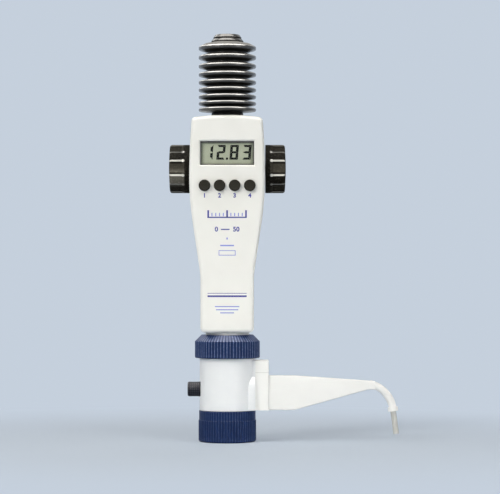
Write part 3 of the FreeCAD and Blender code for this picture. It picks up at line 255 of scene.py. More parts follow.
def arm_white():
    """Arm plastic, with the fine line where the locking block sits on the arm's block."""
    colour = (0.865, 0.867, 0.845)
    finish = Finish("arm_white", 0.08, Subsurface_Weight=0.10, Subsurface_Scale=0.002)
    texture = finish.grain(0.7, 4.0, 0.6)
    flow = finish.grain(14.0, 3.0, stretch=(0.4, 1, 1))
    across, _, tall = finish.axes()
    on_block = 1 - finish.ramp(across, 38.0, 38.2)
    line = (1 - finish.ramp(abs(tall - high("arm_block").z), 0.10, 0.30)) * on_block
    body = finish.mix(flow, shade(colour, 0.945), shade(colour, 1.03))
    finish.paint(finish.mix(line * 0.45, body, (0.34, 0.34, 0.32)))
    finish.rough(0.36 + 0.12 * texture)
    finish.bump(texture, 0.015)
    return finish


def milky_white():
    """Machined fluoropolymer block: milky, with faint turning marks."""
    finish = Finish("milky_white", 0.12, Subsurface_Weight=0.35, Subsurface_Scale=0.004)
    clouds = finish.grain(9.0, 4.0)
    turning = finish.grain(0.5, 2.0, stretch=(0.02, 0.02, 1))
    finish.paint(finish.mix(clouds, (0.795, 0.815, 0.83), (0.845, 0.86, 0.87)))
    finish.rough(0.29 + 0.10 * turning)
    finish.bump(turning, 0.012)
    return finish


def navy_plastic():
    """Dark blue nut plastic: its rib crests are painted paler as highlight lines, most on the upper nut, and
    are smoother from rubbing.
    """
    finish = Finish("navy_plastic", 0.09)
    clouds = finish.grain(7.0, 3.0)
    texture = finish.grain(0.4, 3.0, 0.6)
    scuffs = finish.ramp(finish.grain(2.6, 5.0, 0.7), 0.60, 0.78)
    across, deep, tall = finish.axes()
    crest = 1 - deep.around(across, rib_count)
    patches = finish.ramp(finish.grain(1.7, 4.0, 0.7), 0.35, 0.65)
    # Painted highlight: the rib crests are painted paler, in patches; the same mask makes the crests
    # smoother, as rubbing does.
    crest_highlight_and_wear = finish.ramp(crest, 0.45, 0.95) * (0.45 + 0.55 * patches)
    body = finish.mix(clouds, (0.0010, 0.0115, 0.058), (0.0030, 0.0190, 0.084))
    upper_nut = finish.ramp(tall, low("coupling_nut").z - 2, low("coupling_nut").z)
    # Share of the painted crest highlight: full on the upper nut, about a third on the lower one.
    toned = 0.32 + 0.68 * upper_nut
    finish.paint(finish.mix((crest_highlight_and_wear + scuffs * 0.3) * toned, body, (0.115, 0.160, 0.31)))
    finish.rough(0.42 + 0.14 * texture - 0.14 * crest_highlight_and_wear)
    finish.bump(texture, 0.02)
    return finish


def bellows_rubber():
    """Glossy black rubber with a warm bloom of fine dust, matt where dust has settled on level rubber."""
    finish = Finish("bellows_rubber", 0.32, Coat_Roughness=0.26)
    dust = finish.ramp(finish.grain(0.8, 5.0, 0.7), 0.50, 0.78)
    smears = finish.grain(12.0, 3.0)
    settled = finish.upward(0.69, 0.83)
    finish.paint(finish.mix(dust * 0.4 + settled * 0.15, (0.0085, 0.0075, 0.0055), (0.038, 0.033, 0.024)))
    finish.rough(0.28 + 0.10 * smears + 0.12 * dust + 0.5 * settled)
    finish.link(0.85 - 0.8 * settled, finish.shader.inputs["Coat Weight"])
    finish.bump(finish.grain(0.5, 3.0), 0.02)
    return finish


def grip_black():
    """Black wheel plastic with a coarse grain and glossy front ridges. Painted highlights make the front
    ridges pale, painted light makes the front flutes and the left wheel's lower rim paler, and painted shade
    darkens a band beside each ridge.
    """
    finish = Finish("grip_black", 0.01, Coat_Roughness=0.22, Coat_IOR=1.7)
    grain = finish.grain(0.45, 3.0, 0.7)
    dust = finish.ramp(finish.grain(1.8, 4.0, 0.65), 0.46, 0.76)
    across, deep, tall = finish.axes()
    height = tall - middle("right_hand_wheel").z
    behind = deep - middle("drive_shaft").y
    from_face = abs(across) - abs(high("left_hand_wheel").x)
    place = behind.around(height, flutes)
    reach = (behind * behind + height * height).maths("POWER", 0.5)
    flute_near, flute_full, rim_near, rim_full, bead_place, ridge_shade_place = 3.6, 5.2, 18.6, 19.8, 5.6, 0.15
    on_rim = finish.ramp(from_face, flute_near, flute_full) * finish.ramp(reach, rim_near, rim_full)
    # The painted light and shade below are strongest on the front of the rim, near the axle's height.
    away = finish.ramp(abs(height), 10.5, 13.0).most(finish.ramp(behind, -6.0, 2.0))
    front = on_rim * (1 - 0.75 * away)
    bead = 1 - finish.ramp(abs(from_face - bead_place), 0.5, 1.3)
    # Painted highlight: the front ridges are painted pale, with a bead at their inner ends; the same mask
    # gives them a gloss coat.
    ridge = (1 - finish.ramp(abs(place - ridge_share) - 0.045 * bead, 0.03, 0.095)) * front
    # Painted light: the flute faces beside the front ridges are painted paler.
    painted_flute_sheen = finish.ramp(place, ridge_share, ridge_share + 0.1) * front
    # Painted shade: a dark band inside each front flute, beside its ridge.
    painted_ridge_shade = 1 - 0.9 * (1 - finish.ramp(abs(place - ridge_share - ridge_shade_place), 0.03, 0.10)) * on_rim
    # Painted light: the lower front of the left wheel's rim is painted paler.
    lower_left = finish.ramp(across, 1.0, -1.0) * finish.ramp(height, 1.0, -5.0)
    toned = lower_left * on_rim * (1 - finish.ramp(height, -14.5, -17.0))
    dust_and_flute_sheen = (dust * 0.4 + painted_flute_sheen * (0.25 + 0.7 * grain)) * painted_ridge_shade
    body = finish.mix(dust_and_flute_sheen, (0.0080, 0.0072, 0.0055), (0.078, 0.071, 0.056))
    pale = finish.mix(toned * painted_ridge_shade * (0.25 + 0.35 * grain + 0.4 * dust), body, (0.255, 0.238, 0.196))
    finish.paint(finish.mix(ridge * 0.92, pale, (0.74, 0.72, 0.65)))
    finish.link(ridge, finish.shader.inputs["Coat Weight"])
    finish.rough(0.56 + 0.20 * grain - 0.30 * ridge)
    finish.bump(grain, 0.06)
    return finish


def trim_black():
    """Glossy black rings and caps, dull on top."""
    finish = Finish("trim_black", 0.14)
    marks = finish.grain(5.0, 4.0, 0.6)
    finish.paint(finish.mix(marks, (0.009, 0.0085, 0.0075), (0.021, 0.020, 0.018)))
    finish.rough(0.16 + 0.14 * marks + 0.5 * finish.upward(0.80, 0.95))
    finish.bump(finish.grain(0.6), 0.01)
    return finish


def key_rubber():
    """Charcoal silicone key with a matt speckle."""
    finish = Finish("key_rubber", 0.06)
    speckle = finish.ramp(finish.cells(0.34), 0.15, 0.75)
    dust = finish.grain(1.6, 4.0, 0.65)
    finish.paint(finish.mix(speckle * 0.6 + dust * 0.3, (0.0075, 0.0068, 0.0046), (0.027, 0.0245, 0.0175)))
    finish.rough(0.60 + 0.22 * dust)
    finish.bump(speckle, 0.03)
    return finish


def knob_plastic():
    """Blue-black knob plastic, with the tops of its knurled studs painted grey as uneven highlights."""
    finish = Finish("knob_plastic", 0.1)
    across, deep, tall = finish.axes()
    around = 1 - deep.around(tall - middle("side_knob").z, knob_ridges)
    rows = (across - high("side_knob").x) / (knob_row / 2)
    along = rows.maths("PINGPONG", 1.0)
    stud = finish.ramp(around + (1 - along), 1.0, 1.7)
    # Painted highlight: the stud tops are painted grey, unevenly.
    stud_highlight_patches = finish.ramp(finish.grain(1.4, 5.0, 0.7), 0.40, 0.72)
    finish.paint(finish.mix(stud * (0.35 + 0.65 * stud_highlight_patches), (0.0050, 0.0055, 0.0120), (0.150, 0.155, 0.180)))
    finish.rough(0.32 + 0.2 * finish.grain(0.5, 3.0))
    finish.bump(stud, 0.12)
    return finish


def crystal_panel():
    """Reflective liquid crystal panel: grey-green, finely speckled, with painted shade darkening it towards
    its edges, where the window's recess shades it.
    """
    finish = Finish("crystal_panel", 0.2)
    across, _, tall = finish.axes()
    centre, corner = middle("display_module"), high("display_module")
    from_side = corner.x - centre.x - abs(across - centre.x)
    from_edge = corner.z - centre.z - abs(tall - centre.z)
    # Painted shade: the panel is darker near the window's edges.
    lit = finish.ramp(from_side, 0.8, 6.5) * finish.ramp(from_edge, 0.6, 4.6)
    speckle = finish.grain(0.32, 4.0, 0.75)
    pale = finish.mix(speckle, (0.400, 0.440, 0.320), (0.600, 0.640, 0.485))
    dark = finish.mix(speckle, (0.055, 0.063, 0.046), (0.150, 0.170, 0.125))
    finish.paint(finish.mix(0.15 + 0.85 * lit, dark, pale))
    finish.rough(0.26 + 0.16 * speckle)
    finish.bump(speckle, 0.008)
    return finish


def crystal_ink():
    """Energised segments of the display."""
    finish = Finish("crystal_ink", 0.1)
    speckle = finish.grain(0.3, 3.0)
    finish.paint(finish.mix(speckle, (0.004, 0.0045, 0.0035), (0.014, 0.016, 0.012)))
    finish.rough(0.25 + 0.15 * speckle)
    return finish


def print_ink(name, colour):
    """Screen-printed ink, thin and slightly uneven."""
    finish = Finish(name)
    wash = finish.grain(1.1, 4.0, 0.7)
    finish.paint(finish.mix(wash, shade(colour, 0.82), shade(colour, 1.28)))
    finish.rough(0.36 + 0.2 * wash)
    finish.bump(wash, 0.01)
    return finish


def clear_pane():
    """Clear plate that shows by its gloss alone."""
    finish = Finish("clear_pane", Base_Color=(0.02, 0.022, 0.022, 1), IOR=1.49, Coat_Weight=1.0,
                    Coat_Roughness=0.03)
    smears = finish.grain(10.0, 3.0)
    finish.rough(0.04 + 0.10 * smears)
    finish.link(0.045 + 0.05 * smears, finish.shader.inputs["Alpha"])
    return finish


def clear_glass():
    finish = Finish("clear_glass", Base_Color=(0.88, 0.91, 0.90, 1), IOR=1.47, Coat_Weight=1.0)
    ripple = finish.grain(6.0, 2.0)
    finish.rough(0.04 + 0.06 * ripple)
    finish.link(0.20 + 0.10 * ripple, finish.shader.inputs["Alpha"])
    return finish


def frosted_tip():
    """Drawn capillary of pale translucent plastic, greyer along its bore."""
    finish = Finish("frosted_tip", IOR=1.4, Coat_Weight=0.5, Subsurface_Weight=0.3, Subsurface_Scale=0.002)
    streaks = finish.grain(0.7, 3.0, stretch=(1, 1, 0.04))
    finish.paint(finish.mix(streaks, (0.46, 0.455, 0.42), (0.78, 0.775, 0.73)))
    finish.rough(0.14 + 0.16 * streaks)
    finish.link(0.80 + 0.12 * streaks, finish.shader.inputs["Alpha"])
    return finish


def metal(name, colour, roughness, stretch):
    """Ground or drawn metal: fine parallel marks and a faint stain."""
    finish = Finish(name, Metallic=1.0)
    marks = finish.grain(0.3, 3.0, 0.6, stretch)
    stain = finish.grain(6.0, 3.0)
    finish.paint(finish.mix(stain, shade(colour, 0.86), shade(colour, 1.08)))
    finish.rough(roughness - 0.07 + 0.16 * marks)
    finish.bump(marks, 0.012)
    return finish


def circuit_green():
    """Solder mask over a grid of tracks."""
    finish = Finish("circuit_green", Roughness=0.3, Coat_Weight=0.5)
    rows = (finish.axes()[0] + 0.8 * finish.grain(9.0)).maths("PINGPONG", 0.9)
    tracks = finish.ramp(rows, 0.30, 0.42) * finish.ramp(finish.grain(7.0, 0.0), 0.48, 0.52)
    finish.paint(finish.mix(tracks, (0.016, 0.100, 0.038), (0.035, 0.19, 0.070)))
    finish.bump(tracks, 0.03)
    return finish


finishes = {
    "shell": shell_white(), "arm": arm_white(), "milky": milky_white(), "navy": navy_plastic(),
    "bellows": bellows_rubber(), "grip": grip_black(), "trim": trim_black(), "key": key_rubber(),
    "knob": knob_plastic(), "panel": crystal_panel(), "ink": crystal_ink(), "pane": clear_pane(),
    "glass": clear_glass(), "tip": frosted_tip(), "blue": print_ink("blue_ink", (0.006, 0.014, 0.25)),
    "pale_blue": print_ink("pale_blue_ink", (0.20, 0.24, 0.62)),
    "fluoro": moulded("white_fluoropolymer", (0.84, 0.84, 0.82), 0.30),
    "seal": moulded("seal_rubber", (0.022, 0.022, 0.022), 0.62),
    "ceramic": moulded("ball_ceramic", (0.80, 0.77, 0.70), 0.12),
    "grey": moulded("frame_grey", (0.10, 0.105, 0.115), 0.48),
    "steel": metal("ground_steel", (0.60, 0.60, 0.61), 0.28, (0.05, 0.05, 1)),
    "dark_steel": metal("blackened_steel", (0.085, 0.082, 0.078), 0.42, (1, 0.05, 0.05)),
    "brass": metal("machined_brass", (0.72, 0.53, 0.24), 0.26, (1, 0.05, 0.05)),
    "nickel": metal("bright_nickel", (0.74, 0.72, 0.67), 0.18, (1, 1, 0.1)),
    "black": moulded("encoder_black", (0.014, 0.014, 0.014), 0.55),
    "board": circuit_green(), "cell": metal("cell_sleeve", (0.30, 0.33, 0.38), 0.34, (1, 1, 0.03)),
}
dressed = {
    "shell": "front_cover rear_cover battery_cover",
    "arm": "arm_block arm_lock arm_shell_front arm_shell_rear spout_jacket neck_sleeve",
    "milky": "valve_block",
    "navy": "bottle_nut coupling_nut",
    "bellows": "bellows",
    "trim": "bellows_base_ring bellows_top_ring rod_end_cap wheel_caps",
    "grip": "left_hand_wheel right_hand_wheel",
    "key": "button_1 button_2 button_3 button_4",
    "knob": "side_knob",
    "pane": "display_window",
    "panel": "display_module",
    "glass": "glass_cylinder",
    "tip": "nozzle_tip",
    "fluoro": "discharge_tube intake_fitting outlet_seat stopcock_plug stopcock_gland piston piston_seal"
              " bottle_gasket",
    "seal": "cylinder_seals stopcock_seal display_connectors",
    "ceramic": "intake_ball outlet_ball",
    "grey": "drive_frame rack_thrust_pad swivel_ring battery_tray board_spacers",
    "dark_steel": "drive_shaft",
    "steel": "retaining_clips wheel_screws frame_screws case_screws rack_rod",
    "brass": "pinion shaft_bushes",
    "nickel": "battery_contacts switch_domes",
    "black": "encoder_disc encoder_sensor",
    "board": "circuit_board",
    "cell": "battery_cells",
}
for key, names in dressed.items():
    for name in names.split():
        slots = nodes[name].data.materials
        slots.clear()
        slots.append(finishes[key].material)


# Meshes

def placed(x, y, z, quarters, axis):
    """Matrix that turns a spun shape by quarter turns about an axis and sets it at a place."""
    return Matrix.Translation((x, y, z)) @ Matrix.Rotation(quarters * math.pi / 2, 4, axis)


def piece(name, mesh, finish, body, replaced=()):
    """Turns a bmesh in millimetres into a piece that rides on a body. finish is a key of finishes."""
    bmesh.ops.recalc_face_normals(mesh, faces=mesh.faces)
    mesh.transform(Matrix.Scale(MM, 4))
    data = bpy.data.meshes.new(name)
    mesh.to_mesh(data)
    mesh.free()
    made = bpy.data.objects.new(name, data)
    show(made)
    data.shade_smooth()
    data.set_sharp_from_angle(angle=sharp_angle)
    data.materials.append(finishes[finish].material)
    if body:
        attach(made, body)
    if replaced:
        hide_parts(*replaced)
    return made


def bridge(mesh, rings, closed):
    """Faces between neighbouring rings of vertices. A ring of one vertex is a pole."""
    pairs = list(zip(rings, rings[1:]))
    if closed:
        pairs.append((rings[-1], rings[0]))
    for first, second in pairs:
        count = max(len(first), len(second))
        for index in range(count):
            after = index + 1
            corners = [first[index % len(first)], first[after % len(first)], second[after % len(second)],
                       second[index % len(second)]]
            distinct = list(dict.fromkeys(corners))
            if len(distinct) > 2:
                mesh.faces.new(distinct)


def spun(mesh, rows, steps, surface=None, place=Matrix.Identity(4), closed=True):
    """Turns (radius, height) rows about Z. surface(radius, height, angle) may change a radius."""
    rings = []
    for radius, height in rows:
        if radius == 0:
            rings.append([mesh.verts.new(place @ Vector((0, 0, height)))])
            continue
        ring = []
        for step in range(steps):
            angle = 2 * math.pi * step / steps
            reach = surface(radius, height, angle) if surface else radius
            corner = Vector((reach * math.cos(angle), reach * math.sin(angle), height))
            ring.append(mesh.verts.new(place @ corner))
        rings.append(ring)
    bridge(mesh, rings, closed)


def eased(corners, closed=True, steps=corner_steps):
    """Outline with rounded corners, from (radius, height, fillet) corners."""
    points = []
    count = len(corners)
    for index, (radius, height, fillet) in enumerate(corners):
        here = Vector((radius, height))
        if fillet == 0 or (not closed and index in (0, count - 1)):
            points.append((radius, height))
            continue
        before = (Vector(corners[index - 1][:2]) - here).normalized()
        after = (Vector(corners[(index + 1) % count][:2]) - here).normalized()
        half = before.angle(after) / 2
        reach = fillet / math.tan(half)
        centre = here + (before + after).normalized() * (fillet / math.sin(half))
        start = here + before * reach - centre
        end = here + after * reach - centre
        turn = start.angle_signed(end)
        for step in range(steps + 1):
            arm = start.copy()
            arm.rotate(Matrix.Rotation(-turn * step / steps, 2))
            points.append(tuple(centre + arm))
    return points


def subdivided(points, longest):
    """Adds points so that no stretch of the outline is longer than a length."""
    result = []
    for index, point in enumerate(points):
        result.append(point)
        following = points[(index + 1) % len(points)]
        gap = math.dist(point, following)
        extra = int(gap // longest)
        for step in range(1, extra + 1):
            share = step / (extra + 1)
            result.append(tuple(a + (b - a) * share for a, b in zip(point, following)))
    return result


def soft_step(value, start, end):
    share = min(1.0, max(0.0, (value - start) / (end - start)))
    return share * share * (3 - 2 * share)


# Ribbed nuts

def groove_share(angle):
    """0 on a rib's crest and 1 in the furrow beside it."""
    wave = 0.5 - 0.5 * math.cos(angle * rib_count)
    return soft_step(wave, 0.08, 0.80)


def bottle_nut():
    bottom, top = low("bottle_nut"), high("bottle_nut")
    radius = min(top.x, top.y)
    band_z, band_inset, edge = 19.3, 0.5, 2.2
    bore, relief, relief_z = 22.5, 23.0, 12.0
    mouth, ceiling = 17.3, 24.4
    rib_low, rib_run = 1.6, 1.2
    corners = [
        (bore, bottom.z, 0.4), (radius, bottom.z, edge), (radius, band_z + band_inset, 0.35),
        (radius - band_inset, band_z + band_inset, 0.1), (radius - band_inset, top.z, 0.45),
        (mouth, top.z, 0.3), (mouth, ceiling, 0), (relief, ceiling, 0.4), (relief, relief_z, 0),
        (bore, relief_z, 0)]

    def surface(reach, height, angle):
        if reach < radius - band_inset:
            return reach
        fade = soft_step(height, rib_low, rib_low + rib_run)
        return min(reach, radius - nut_rib_depth * groove_share(angle) * fade)

    mesh = bmesh.new()
    spun(mesh, subdivided(eased(corners), 2.5), rib_count * rib_steps, surface)
    piece("bottle_nut_ribbed", mesh, "navy", "bottle_mount", ["bottle_nut"])


def thread_ridge():
    """The nut's inside thread: one ridge that winds up the bore."""
    bore, depth, pitch, turns, start_z = 22.45, 1.1, 4.0, 2.2, 1.9
    steps_a_turn = 96
    half_root, half_crest = 1.2, 0.5
    mesh = bmesh.new()
    rings = []
    total = int(turns * steps_a_turn)
    for step in range(total + 1):
        angle = 2 * math.pi * step / steps_a_turn
        rise = start_z + pitch * step / steps_a_turn
        fade = soft_step(step, 0, steps_a_turn / 8) * soft_step(total - step, 0, steps_a_turn / 8)
        crest = bore - depth * max(fade, 0.05)
        section = [(bore, rise - half_root), (crest, rise - half_crest), (crest, rise + half_crest),
                   (bore, rise + half_root)]
        rings.append([mesh.verts.new((r * math.cos(angle), r * math.sin(angle), z)) for r, z in section])
    bridge(mesh, rings, False)
    mesh.faces.new(rings[0])
    mesh.faces.new(rings[-1])
    piece("bottle_nut_thread", mesh, "navy", "bottle_mount")


def coupling_nut():
    bottom, top = low("coupling_nut"), high("coupling_nut")
    radius = min(top.x, top.y)
    chamfer, foot = 6.0, 1.0
    bore, mouth, ceiling = 22.3, 19.9, top.z - 4.0
    shoulder = top.z - chamfer
    corners = [
        (bore, bottom.z, 0.3), (radius, bottom.z, foot), (radius, shoulder, 0.3),
        (radius - chamfer, top.z, 0.5), (mouth, top.z, 0.4), (mouth, ceiling, 0), (bore, ceiling, 0)]

    def surface(reach, height, angle):
        if reach < radius - chamfer:
            return reach
        fade = soft_step(height, bottom.z + foot, bottom.z + foot * 2)
        return min(reach, radius - coupling_rib_depth * groove_share(angle) * fade)

    mesh = bmesh.new()
    spun(mesh, subdivided(eased(corners), 1.5), rib_count * rib_steps, surface)
    piece("coupling_nut_ribbed", mesh, "navy", "coupling_ring", ["coupling_nut"])


# Side knob

def side_knob():
    bottom, top = low("side_knob"), high("side_knob")
    radius = (top.z - bottom.z) / 2
    length = top.x - bottom.x
    stem, socket_depth = 2.4, 7.0
    relief, swell, hip, rim_depth, foot = 0.42, 0.25, 0.22, 1.0, 0.4
    dimple, dimple_depth = 0.9, 0.35
    corners = [
        (stem, 0, 0), (radius - swell, 0, 0.5), (radius - swell, length, 1.3), (dimple, length, 0),
        (0, length - dimple_depth, 0), (0, socket_depth, 0), (stem, socket_depth, 0)]
    place = placed(top.x, 0, middle("side_knob").z, -1, "Y")

    def surface(reach, height, angle):
        if reach < radius - rim_depth or height < foot:
            return reach
        waist = hip * (1 - (2 * height / length - 1) ** 2)
        around = math.cos(angle * knob_ridges)
        along = math.cos(2 * math.pi * height / knob_row)
        stud = 0.5 + 0.5 * around * along
        fade = soft_step(length - height, 0.7, 1.8)
        return reach + swell * fade - waist - relief * (1 - stud) * fade

    mesh = bmesh.new()
    spun(mesh, subdivided(eased(corners), 0.3), knob_ridges * 8, surface, place)
    piece("side_knob_knurled", mesh, "knob", "stopcock", ["side_knob"])


# Hand wheels

def fluted(radius):
    """Radius function of the wheel's rim with soft edges between flutes and lands."""
    centre = radius + flute_radius - flute_depth
    softness, rim_depth, foot = 0.7, 3.4, 0.6

    def surface(reach, height, angle):
        if reach < radius - rim_depth or height < foot:
            return reach
        turn = 2 * math.pi / flutes
        offset = angle % turn - turn / 2
        cutter = flute_radius
        if height < flute_start + flute_nose:
            away = (flute_start + flute_nose - height) / flute_nose
            if away >= 1:
                return reach
            cutter = flute_radius * math.sqrt(1 - away * away)
        inside = cutter ** 2 - (centre * math.sin(offset)) ** 2
        if inside <= 0:
            return reach
        wall = centre * math.cos(offset) - math.sqrt(inside)
        gap = wall - reach
        return reach + (gap - math.sqrt(gap * gap + softness ** 2)) / 2
    return surface


def hand_wheels():
    length = 18.6
    edge, crown, rim, hub, bore, face = 2.2, 0.9, 3.2, 7.5, 3.0, 5.5
    cap_seat, cap_depth = 8.0, 1.3
    for sign, side, node in ((1, "right", "right_hand_wheel"), (-1, "left", "left_hand_wheel")):
        radius = high(node).z - middle(node).z
        sphere = (radius ** 2 + crown ** 2) / (2 * crown)

        def crown_height(reach):
            return length - sphere + math.sqrt(sphere ** 2 - reach ** 2)

        outer = [(reach, crown_height(reach), 0) for reach in (18.0, 14.5, 11.0)]
        seat = length - cap_depth
        recess = length - face
        corners = [
            (radius, 0, 0.5), (radius, crown_height(radius), edge), *outer,
            (cap_seat, crown_height(cap_seat), 0.25), (cap_seat, seat, 0), (bore, seat, 0), (bore, 0, 0),
            (hub, 0, 0.3), (hub, recess, 0.5), (radius - rim, recess, 0.8), (radius - rim, 0, 0.3)]
        inner = low(node).x if sign > 0 else high(node).x
        place = placed(inner, middle("drive_shaft").y, middle(node).z, sign, "Y")
        mesh = bmesh.new()
        spun(mesh, subdivided(eased(corners), 0.8), wheel_steps, fluted(radius), place)
        piece(side + "_hand_wheel_fluted", mesh, "grip", "drive", [node])


def wheel_caps():
    bottom, top, centre = low("wheel_caps"), high("wheel_caps"), middle("wheel_caps")
    clearance, thickness, ring, slope, dish = 0.08, 1.3, 1.6, 0.5, 0.3
    radius = top.z - centre.z - clearance
    corners = [(0, 0, 0), (radius, 0, 0.1), (radius, thickness, 0.45), (radius - ring, thickness, 0.2),
               (radius - ring - slope, thickness - dish, 0.2), (0, thickness - dish, 0)]
    mesh = bmesh.new()
    for sign, face in ((1, top.x), (-1, bottom.x)):
        place = placed(face - sign * thickness, middle("drive_shaft").y, centre.z, sign, "Y")
        spun(mesh, eased(corners, closed=False), round_steps // 2, None, place, closed=False)
    piece("wheel_caps_ringed", mesh, "trim", "drive", ["wheel_caps"])


# Bellows with its end pieces

def bellows_ribs():
    """Height of each rib, wider apart towards the top."""
    first_rise, first_pitch, pitch_growth, ribs = 2.2, 5.6, 0.4, 9
    heights = [low("bellows").z + first_rise]
    for index in range(ribs - 1):
        heights.append(heights[-1] + first_pitch + pitch_growth * index)
    return heights


def bellows():
    """Ribs with thick rounded lips that widen inwards like wedges, and a plain fold inside each."""
    foot, crown = low("bellows").z, high("bellows").z
    tip, valley, end = 26.15, 18.3, 14.7
    shoulder, shoulder_drop, hole_radius = 20.5, 1.15, 2.6
    wall, valley_half, lip_half, lip_growth = 1.1, 0.35, 1.3, 0.03
    heights = bellows_ribs()
    outside = [(end, foot, 0)]
    inside = [(end - wall, foot)]
    for index, height in enumerate(heights):
        half = lip_half + lip_growth * index
        if index:
            below = (heights[index - 1] + height) / 2
            for level in (below - valley_half, below + valley_half):
                outside.append((valley, level, 0.45))
                inside.append((valley - wall, level))
        outside += [(tip, height - half, half * 0.9), (tip, height + half, half * 0.9)]
        inside += [(tip - wall * 2, height - half * 0.4), (tip - wall * 2, height + half * 0.4)]
    outside.append((shoulder, crown - shoulder_drop, 2.5))
    outside.append((end, crown, 0))
    inside.append((end - wall, crown - wall))
    outside = eased(outside, closed=False)
    hole = [(hole_radius, crown), (hole_radius, crown - wall)]
    mesh = bmesh.new()
    spun(mesh, outside + hole + inside[::-1], round_steps)
    made = piece("bellows_ribbed", mesh, "bellows", None, ["bellows"])
    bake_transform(made)


def stacked_disc(name, node, body, corners):
    """Disc for a node, turned from (radius, height above the node's foot, fillet) corners."""
    foot = low(node).z
    mesh = bmesh.new()
    spun(mesh, eased([(radius, foot + height, fillet) for radius, height, fillet in corners]), round_steps)
    piece(name, mesh, "trim", body, [node])


def bellows_ends():
    stacked_disc("bellows_top_clamp", "bellows_top_ring", "lift", [
        (2.6, 0, 0), (14.2, 0, 0.2), (14.7, 0.5, 0.3), (14.7, 1.2, 0.4), (13.1, 3.1, 0.3), (2.6, 3.1, 0)])
    stacked_disc("end_cap_bevelled", "rod_end_cap", "lift", [
        (2.6, 0, 0), (12.3, 0, 0.2), (12.75, 0.5, 0.3), (12.75, 1.5, 0.4), (10.9, 3.9, 0.4), (8.6, 3.9, 0.3),
        (8.1, 3.4, 0.3), (2.6, 3.4, 0)])
    stacked_disc("bellows_foot_clamp", "bellows_base_ring", "head", [
        (7.2, 0, 0), (8.9, 0, 0), (8.9, 4.9, 0), (14.3, 4.9, 0.3), (14.7, 5.6, 0.4), (14.2, 8.5, 0.5),
        (7.2, 8.5, 0)])


# Keys

def keys():
    front, flange_front, flange_back = 27.2, 21.2, 20.2
    dish, dish_radius = 0.22, 4.2
    cap, flange, stem = 5.0, 6.1, 2.0
    for index in range(1, 5):
        node = "button_%d" % index
        centre, rear = middle(node), -high(node).y
        place = placed(centre.x, 0, centre.z, 1, "X")
        corners = [
            (0, front - dish, 0), (dish_radius * 0.55, front - dish * 0.85, 0), (dish_radius, front, 0.3),
            (cap, front, 0.55), (cap, flange_front, 0.1), (flange, flange_front, 0.2),
            (flange, flange_back, 0.1), (stem, flange_back, 0.2), (stem, rear, 0.2), (0, rear, 0)]
        mesh = bmesh.new()
        spun(mesh, eased(corners, closed=False), round_steps // 2, None, place, closed=False)
        piece("button_%d_cap" % index, mesh, "key", "key_%d" % index, [node])


# Display: pane, dark frame of painted shade, figures

def slab(mesh, outline, near, far):
    """Plate in the XZ plane from y = near to y = far, from (x, z) corners."""
    front = [mesh.verts.new((x, near, z)) for x, z in outline]
    rear = [mesh.verts.new((x, far, z)) for x, z in outline]
    mesh.faces.new(front)
    mesh.faces.new(list(reversed(rear)))
    count = len(outline)
    for index in range(count):
        after = (index + 1) % count
        mesh.faces.new((front[index], rear[index], rear[after], front[after]))


def frame_plate(mesh, outer, inner, near, far):
    """Rectangular ring between two (x0, x1, z0, z1) rectangles."""
    def corners(limits, y):
        return [mesh.verts.new((x, y, z)) for x, z in rectangle(*limits)]
    rings = [corners(outer, near), corners(inner, near), corners(inner, far), corners(outer, far)]
    bridge(mesh, rings, True)


def rectangle(x0, x1, z0, z1):
    return [(x0, z0), (x1, z0), (x1, z1), (x0, z1)]


def display_pane():
    bottom, top = low("display_window"), high("display_window")
    thickness, bevel = 0.75, 0.12
    mesh = bmesh.new()
    slab(mesh, rectangle(bottom.x, top.x, bottom.z, top.z), bottom.y, bottom.y + thickness)
    bmesh.ops.bevel(mesh, geom=list(mesh.edges), offset=bevel, segments=2, affect="EDGES")
    piece("display_window_pane", mesh, "pane", "head", ["display_window"])


def display_gasket():
    """Dark frame in the window's opening, just in front of the pane: a dark sheet standing in for the shade
    on the opening's inner walls.
    """
    bottom, top, rim = low("display_window"), high("display_window"), 2.0
    x0, x1, z0, z1 = bottom.x + rim, top.x - rim, bottom.z + rim, top.z - rim
    # Widest at the top, where the shade in the opening is deepest.
    side, head, foot, gap, thickness = 0.75, 1.25, 0.7, 0.02, 0.48
    inner = (x0 + side, x1 - side, z0 + foot, z1 - head)
    back = bottom.y - gap
    mesh = bmesh.new()
    frame_plate(mesh, (x0, x1, z0, z1), inner, back, back - thickness)
    piece("display_gasket", mesh, "seal", "head")


segment_names = {"1": "bc", "2": "abged", "3": "abgcd", "8": "abcdefg"}
figure_height, figure_width, figure_slant = 13.3, 7.6, 0.075
upright_stroke, level_stroke, segment_gap = 2.35, 1.95, 0.05


def segment_outline(name):
    """Corner points of one display segment in an upright figure, as (x, z)."""
    width, height, gap = figure_width, figure_height, segment_gap
    waist, half = height / 2, level_stroke / 2
    mitre, tip = 1.4, 0.3

    def level(edge, inward):
        """Top or bottom bar, mitred towards the figure's inside."""
        inner = edge + inward * level_stroke
        return [(tip + gap, edge), (width - tip - gap, edge), (width - mitre - gap, inner),
                (mitre + gap, inner)]

    def upright(outer, inward, end, up):
        """Side bar from the figure's end to its middle. up is 1 for the upper half and -1 for the lower."""
        inner = outer + inward * upright_stroke
        joint, shoulder = waist + up * gap, end - up * (level_stroke + gap)
        return [(outer, joint), (inner, joint + up * half), (inner, shoulder),
                (outer + inward * (mitre - gap), shoulder), (outer + inward * (tip - gap), end - up * gap),
                (outer, end - up * tip)]

    if name == "g":
        shoulder = upright_stroke + gap
        return [(gap, waist), (shoulder, waist - half), (width - shoulder, waist - half),
                (width - gap, waist), (width - shoulder, waist + half), (shoulder, waist + half)]
    if name == "a":
        return level(height, -1)
    if name == "d":
        return level(0, 1)
    outer, inward = (width, -1) if name in "bc" else (0, 1)
    end, up = (height, 1) if name in "bf" else (0, -1)
    return upright(outer, inward, end, up)


